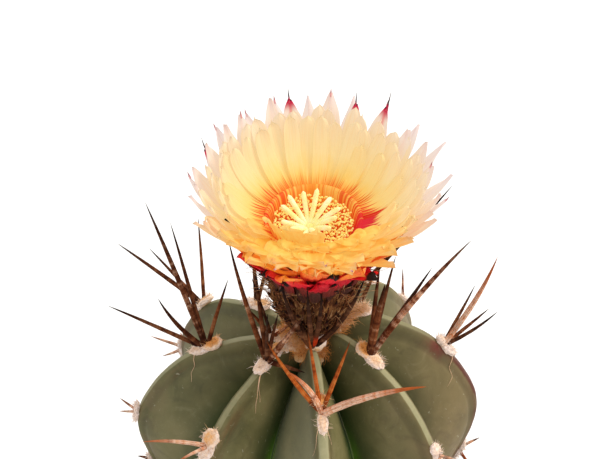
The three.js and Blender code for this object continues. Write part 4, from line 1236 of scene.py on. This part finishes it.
for whorl, (row, golds) in enumerate(zip(WHORLS, GOLDS)):
    silk = Finish(f"petal_silk_{whorl + 1}", Specular_IOR_Level=0.15, Emission_Strength=0.58)
    along, across, seed = silk.mark("along"), silk.mark("across"), silk.mark("seed")
    vein = silk.grain(silk.along(across * 4, along * 0.7, seed * 40), 3, 3, 0.6)
    soft = silk.grain(silk.along(across * 1.3, along * 2.2, seed * 60), 1.5, 3)
    wedge = silk.grain(silk.along(across * 2.4, along * 0.3, seed * 23), 3, 2, 0.45)
    crimson_side, flank = silk.mark("crimson"), silk.mark("flank")
    # The petals at the front are painted a deeper gold: painted light, for the warmer light that passes through
    # them where they lie thick and shaded.
    painted_front_gold = silk.band(silk.mark("front"), 0.02, 0.85) * silk.band(along + 0.3 * soft, 1.75, 1.0) * 0.9
    painted_front_gold_color = silk.blend(silk.band(soft + 0.3 * seed, 0.4, 0.9), (250, 168, 40), (253, 202, 88))
    glow = silk.band(along, 0.4, 0.03) * silk.band(wedge + 0.6 * (0.2 - along), 0.34, 0.62)
    flame = silk.band(along - 0.5 * (wedge - 0.5) - 0.2 * crimson_side - 0.16 * flank + 0.06, 0.22, 0.04)
    flame = flame * silk.band(wedge + 0.4 * (0.14 - along) + 0.3 * crimson_side, 0.46, 0.6)
    gold = silk.coats(
        silk.ramp(along + 0.3 * soft - 0.15, *((spot, *tint) for spot, tint in zip(GOLD_PLACES, golds))),
        (silk.band(vein, 0.5, 0.7) * 0.3, (250, 186, 100)),
        (silk.band(vein, 0.42, 0.28) * 0.25, (255, 232, 178)),
        (painted_front_gold, painted_front_gold_color),
        (glow * 0.8, (251, 144, 38)),
        (flame * (0.25 + 0.75 * flank), silk.blend(crimson_side, (232, 60, 24), (222, 18, 48))),
    )
    if whorl > 2:
        blush = silk.mark("blush")
        midrib = silk.band(silk.size_of(across), 0.45, 0.0) * silk.band(along, 0.5, 0.95)
        gold = silk.coats(
            gold,
            (midrib * blush * 0.7, (238, 112, 104)),
            (silk.band(along + 0.05 * soft, 0.9, 1.0) * blush, (206, 26, 72)),
            (silk.band(along, 0.975, 0.995) * blush, (52, 16, 24)),
        )
    silk.relief(vein, 0.00012, 0.6)
    silk.ends(silk.blend(0.6, gold, (0, 0, 0)), 0.5 + 0.2 * soft, Emission_Color=gold)
    petals = Bundle()
    if whorl == 1:
        points, faces = turned(CUP, CUP_SIDES, closed=False)
        turns = [atan2(x, -y) for x, y, _ in points]
        # The wall of the throat takes the colours of the petals' feet, deepest red orange below the rim: partly
        # the throat's own colour and partly painted shade deep in the throat.
        heights = [0.02 + 0.1 * max(0, min(1, (z - 50) / 7)) for _, _, z in points]
        heights[:2 * CUP_SIDES] = [0.45] * 2 * CUP_SIDES
        petals.add(
            on_flower(points), faces, along=heights,
            across=[0.22 * (i % CUP_SIDES) for i in range(len(points))],
            crimson=[crimson_share(turn) for turn in turns], flank=[abs(sin(turn)) for turn in turns],
            front=0.0, seed=0.5, blush=0.0,
        )
    for i in range(row["count"] + (len(STANDING_PETALS) if whorl == 0 else 0)):
        seed = 300 + 20 * whorl + i
        turn = 2 * pi * (i + 0.5 * whorl + 0.4 * (dice(seed + 7) - 0.5)) / row["count"]
        standing = None
        if i >= row["count"]:
            turn, tip, width = STANDING_PETALS[i - row["count"]]
            standing = row_of(1, (12.6, 56), (13.1, 62.6), tip, width, 0.5, uneven=0.6, foot=1)
        behind = 0.5 - 0.5 * cos(turn)
        if whorl == 0 and not standing and behind > 0.1 and dice(seed + 29) < 0.35 + 0.5 * behind:
            continue
        if 0 < whorl < 3 and behind < 0.25 and i % 3 == 1:
            continue
        shape = {"foot": 0.74, "shift": 0.9 * (i % 2) - 0.45, **(standing or row)}
        points, faces, marks = petal(shape, turn, seed, PETAL_COLUMNS, PETAL_ROWS, PETAL_THICKNESS, 1.0)
        # The standing petals get much of the painted deeper gold of the front ones.
        if standing:
            marks["front"] = [0.6] * len(points)
        likely = 0.08 + 0.92 * min(1, max(0, 2.4 * behind - 0.4))
        blush = 1.0 if dice(seed + 13) < MAGENTA_SHARE * likely else 0.1
        petals.add(
            points, faces, **marks, crimson=crimson_share(turn), seed=dice(seed + 11), blush=blush,
            flank=abs(sin(turn)),
        )
        if whorl > 2 and (blush > 0.5 or dice(seed + 41) < 0.3):
            half, wide = len(points) // 2, PETAL_COLUMNS + 1
            end = PETAL_ROWS * wide + PETAL_COLUMNS // 2
            tip, before = [(points[spot] + points[spot + half]) / 2 for spot in (end, end - wide)]
            run = (tip - before).normalized()
            reach = 1 + 3.2 * dice(seed + 19) * blush
            path = [tip - run * 1.2, tip, tip + run * reach * 0.5, tip + (run + Vector((0, 0, 0.25))) * reach]
            bristle, sides = strand(path, [0.3, 0.26, 0.18, 0.04], 5)
            petals.add(
                bristle, sides, along=along_strand((0.93, 0.98, 1.0, 1.0), 5), blush=max(0.45, blush), seed=0.5,
                across=0.0, front=0.0, crimson=0.0, flank=0.0,
            )
    petals.made(f"petal_whorl_{whorl + 1}", silk, ["petals"])

# The stamens: several hundred thin orange-red threads crowd in a ring round the style, each with a small
# yellow anther that sheds pollen.
STAMEN_RING = [
    (4.5, 46.5), (7.7, 46.5), (10, 48.6), (11.4, 51), (11.4, 52.4),
    (10.6, 53.2), (9.0, 52.6), (6.6, 50.6), (4.5, 46.6),
]
STAMENS = 640
ANTHER = ball(1)

luck = random.Random(33)
stamens = Bundle()
points, faces = turned(STAMEN_RING, 72, closed=True)
stamens.add(on_flower(points), faces, pollen=0.0, along=0.2)
for k in range(STAMENS):
    outwards = sqrt((k + 0.5) / STAMENS)
    r = 2 + 9.5 * outwards + luck.uniform(-0.4, 0.4)
    turn = k * radians(137.508) + luck.uniform(-0.05, 0.05)
    h = 53 + 2.4 * outwards + luck.uniform(-1, 1)
    foot = around(r * 0.86 - 0.6, 48.5 + 1.5 * outwards, turn)
    head = around(r, h, turn)
    path = [foot, foot.lerp(head, 0.5) + around(0.4, 0, turn), head]
    sprout(stamens, path, [0.13, 0.11, 0.09], 4, (0, 0.5, 1), pollen=0.0)
    corners, sides = ANTHER
    tip = Matrix.Rotation(luck.uniform(0, 3), 3, (luck.random(), luck.random(), luck.random()))
    long, wide = luck.uniform(0.46, 0.62), luck.uniform(0.32, 0.4)
    grains = []
    for corner in corners:
        rough = 1 + 0.22 * cloud.noise(corner * 3.5 + Vector((k, 0, 0)))
        grains.append(head + tip @ Vector((corner.x * wide, corner.y * wide * 0.85, corner.z * long)) * rough)
    stamens.add(on_flower(grains), sides, pollen=luck.uniform(0.7, 1), along=1.0)

powder = Finish("pollen_and_filament", Specular_IOR_Level=0.15, Emission_Strength=0.35)
here = powder.place()
pollen, along = powder.mark("pollen"), powder.mark("along")
dust = powder.grain(here, 2600, 3, 0.7)
thread_color = powder.ramp(along, (0.0, 222, 44, 20), (0.5, 236, 84, 26), (1.0, 248, 140, 46))
dust_color = powder.ramp(dust, (0.35, 252, 206, 84), (0.5, 255, 232, 126), (0.65, 255, 246, 176))
powder.relief(dust, 0.0002)
pollen_color = powder.blend(powder.band(pollen, 0.3, 0.6), thread_color, dust_color)
powder.ends(powder.blend(0.3, pollen_color, (0, 0, 0)), 0.75 + 0.2 * dust, Emission_Color=pollen_color)
stamens.made("stamen_ring", powder, ["stamens"])

# The pistil: one fleshy style that grows from the floor of the throat and opens into twelve blunt
# pale-yellow lobes, finely velvety with papillae.
STYLE = [(0, 46.5), (1.9, 46.5), (1.4, 49.6), (1.3, 52), (1.6, 52.4), (2.1, 53.2), (1.6, 54.2), (0, 54.5)]
STIGMA_HEIGHT = 53.4
STYLE_LEAN = -1.2
STIGMA_LOBES = 12
LOBE_STEPS, LOBE_SIDES = 16, 12

pistil = Bundle()
points, faces = turned(STYLE, 24, closed=False)
points = [(x + STYLE_LEAN * (z - 46.5) / 9, y, z) for x, y, z in points]
pistil.add(on_flower(points), faces, along=0.0)
lobe_root = Vector((STYLE_LEAN, 0, STIGMA_HEIGHT - 0.6))
for i in range(STIGMA_LOBES):
    turn = 360 * (i + 0.5) / STIGMA_LOBES
    toward = cos(radians(turn))
    heading, rise = turn + 8 * (dice(760 + i) - 0.5), 34 - 4 * toward + 12 * (dice(700 + i) - 0.5)
    aim = direction(heading, rise)
    length = 9.7 - toward + dice(720 + i)
    path, radii, shares = [], [], []
    for k in range(LOBE_STEPS + 1):
        t = k / LOBE_STEPS
        lift = 0.9 * sin(pi * t) * (dice(740 + i) - 0.2) + 0.5 * t * t
        path.append(lobe_root + aim * (0.5 + t * length) + Vector((0, 0, lift)))
        blunt = sqrt(max(0.0, 1 - max(0, (t - 0.88) / 0.12) ** 2))
        radii.append((0.46 + 0.3 * min(1, 2 * t)) * (blunt * 0.97 + 0.03))
        shares.append(t)
    points, faces = strand(path, radii, LOBE_SIDES)
    points = [point + Vector((0, 0, 0.1)) * cloud.noise(point * 2.5) for point in points]
    pistil.add(on_flower(points), faces, along=along_strand(shares, LOBE_SIDES))

# Like the petals, the lobes get a faint glow of their own colour: painted light, for the light that passes
# through them.
velvet = Finish("stigma_velvet", Specular_IOR_Level=0.15, Emission_Strength=0.4)
here = velvet.place()
papillae = velvet.grain(here, 3000, 2, 0.6)
tint = velvet.grain(here, 300, 3)
cream = velvet.ramp(tint, (0.3, 248, 232, 140), (0.5, 252, 243, 172), (0.7, 255, 250, 204))
cream = velvet.blend(velvet.band(velvet.mark("along"), 0.2, 0.0) * 0.5, cream, (246, 214, 112))
velvet.relief(papillae, 0.0003)
velvet.ends(velvet.blend(0.35, cream, (0, 0, 0)), 0.7 + 0.2 * papillae, Emission_Color=cream)
pistil.made("stigma_lobes", velvet, ["pistil"])

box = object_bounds()
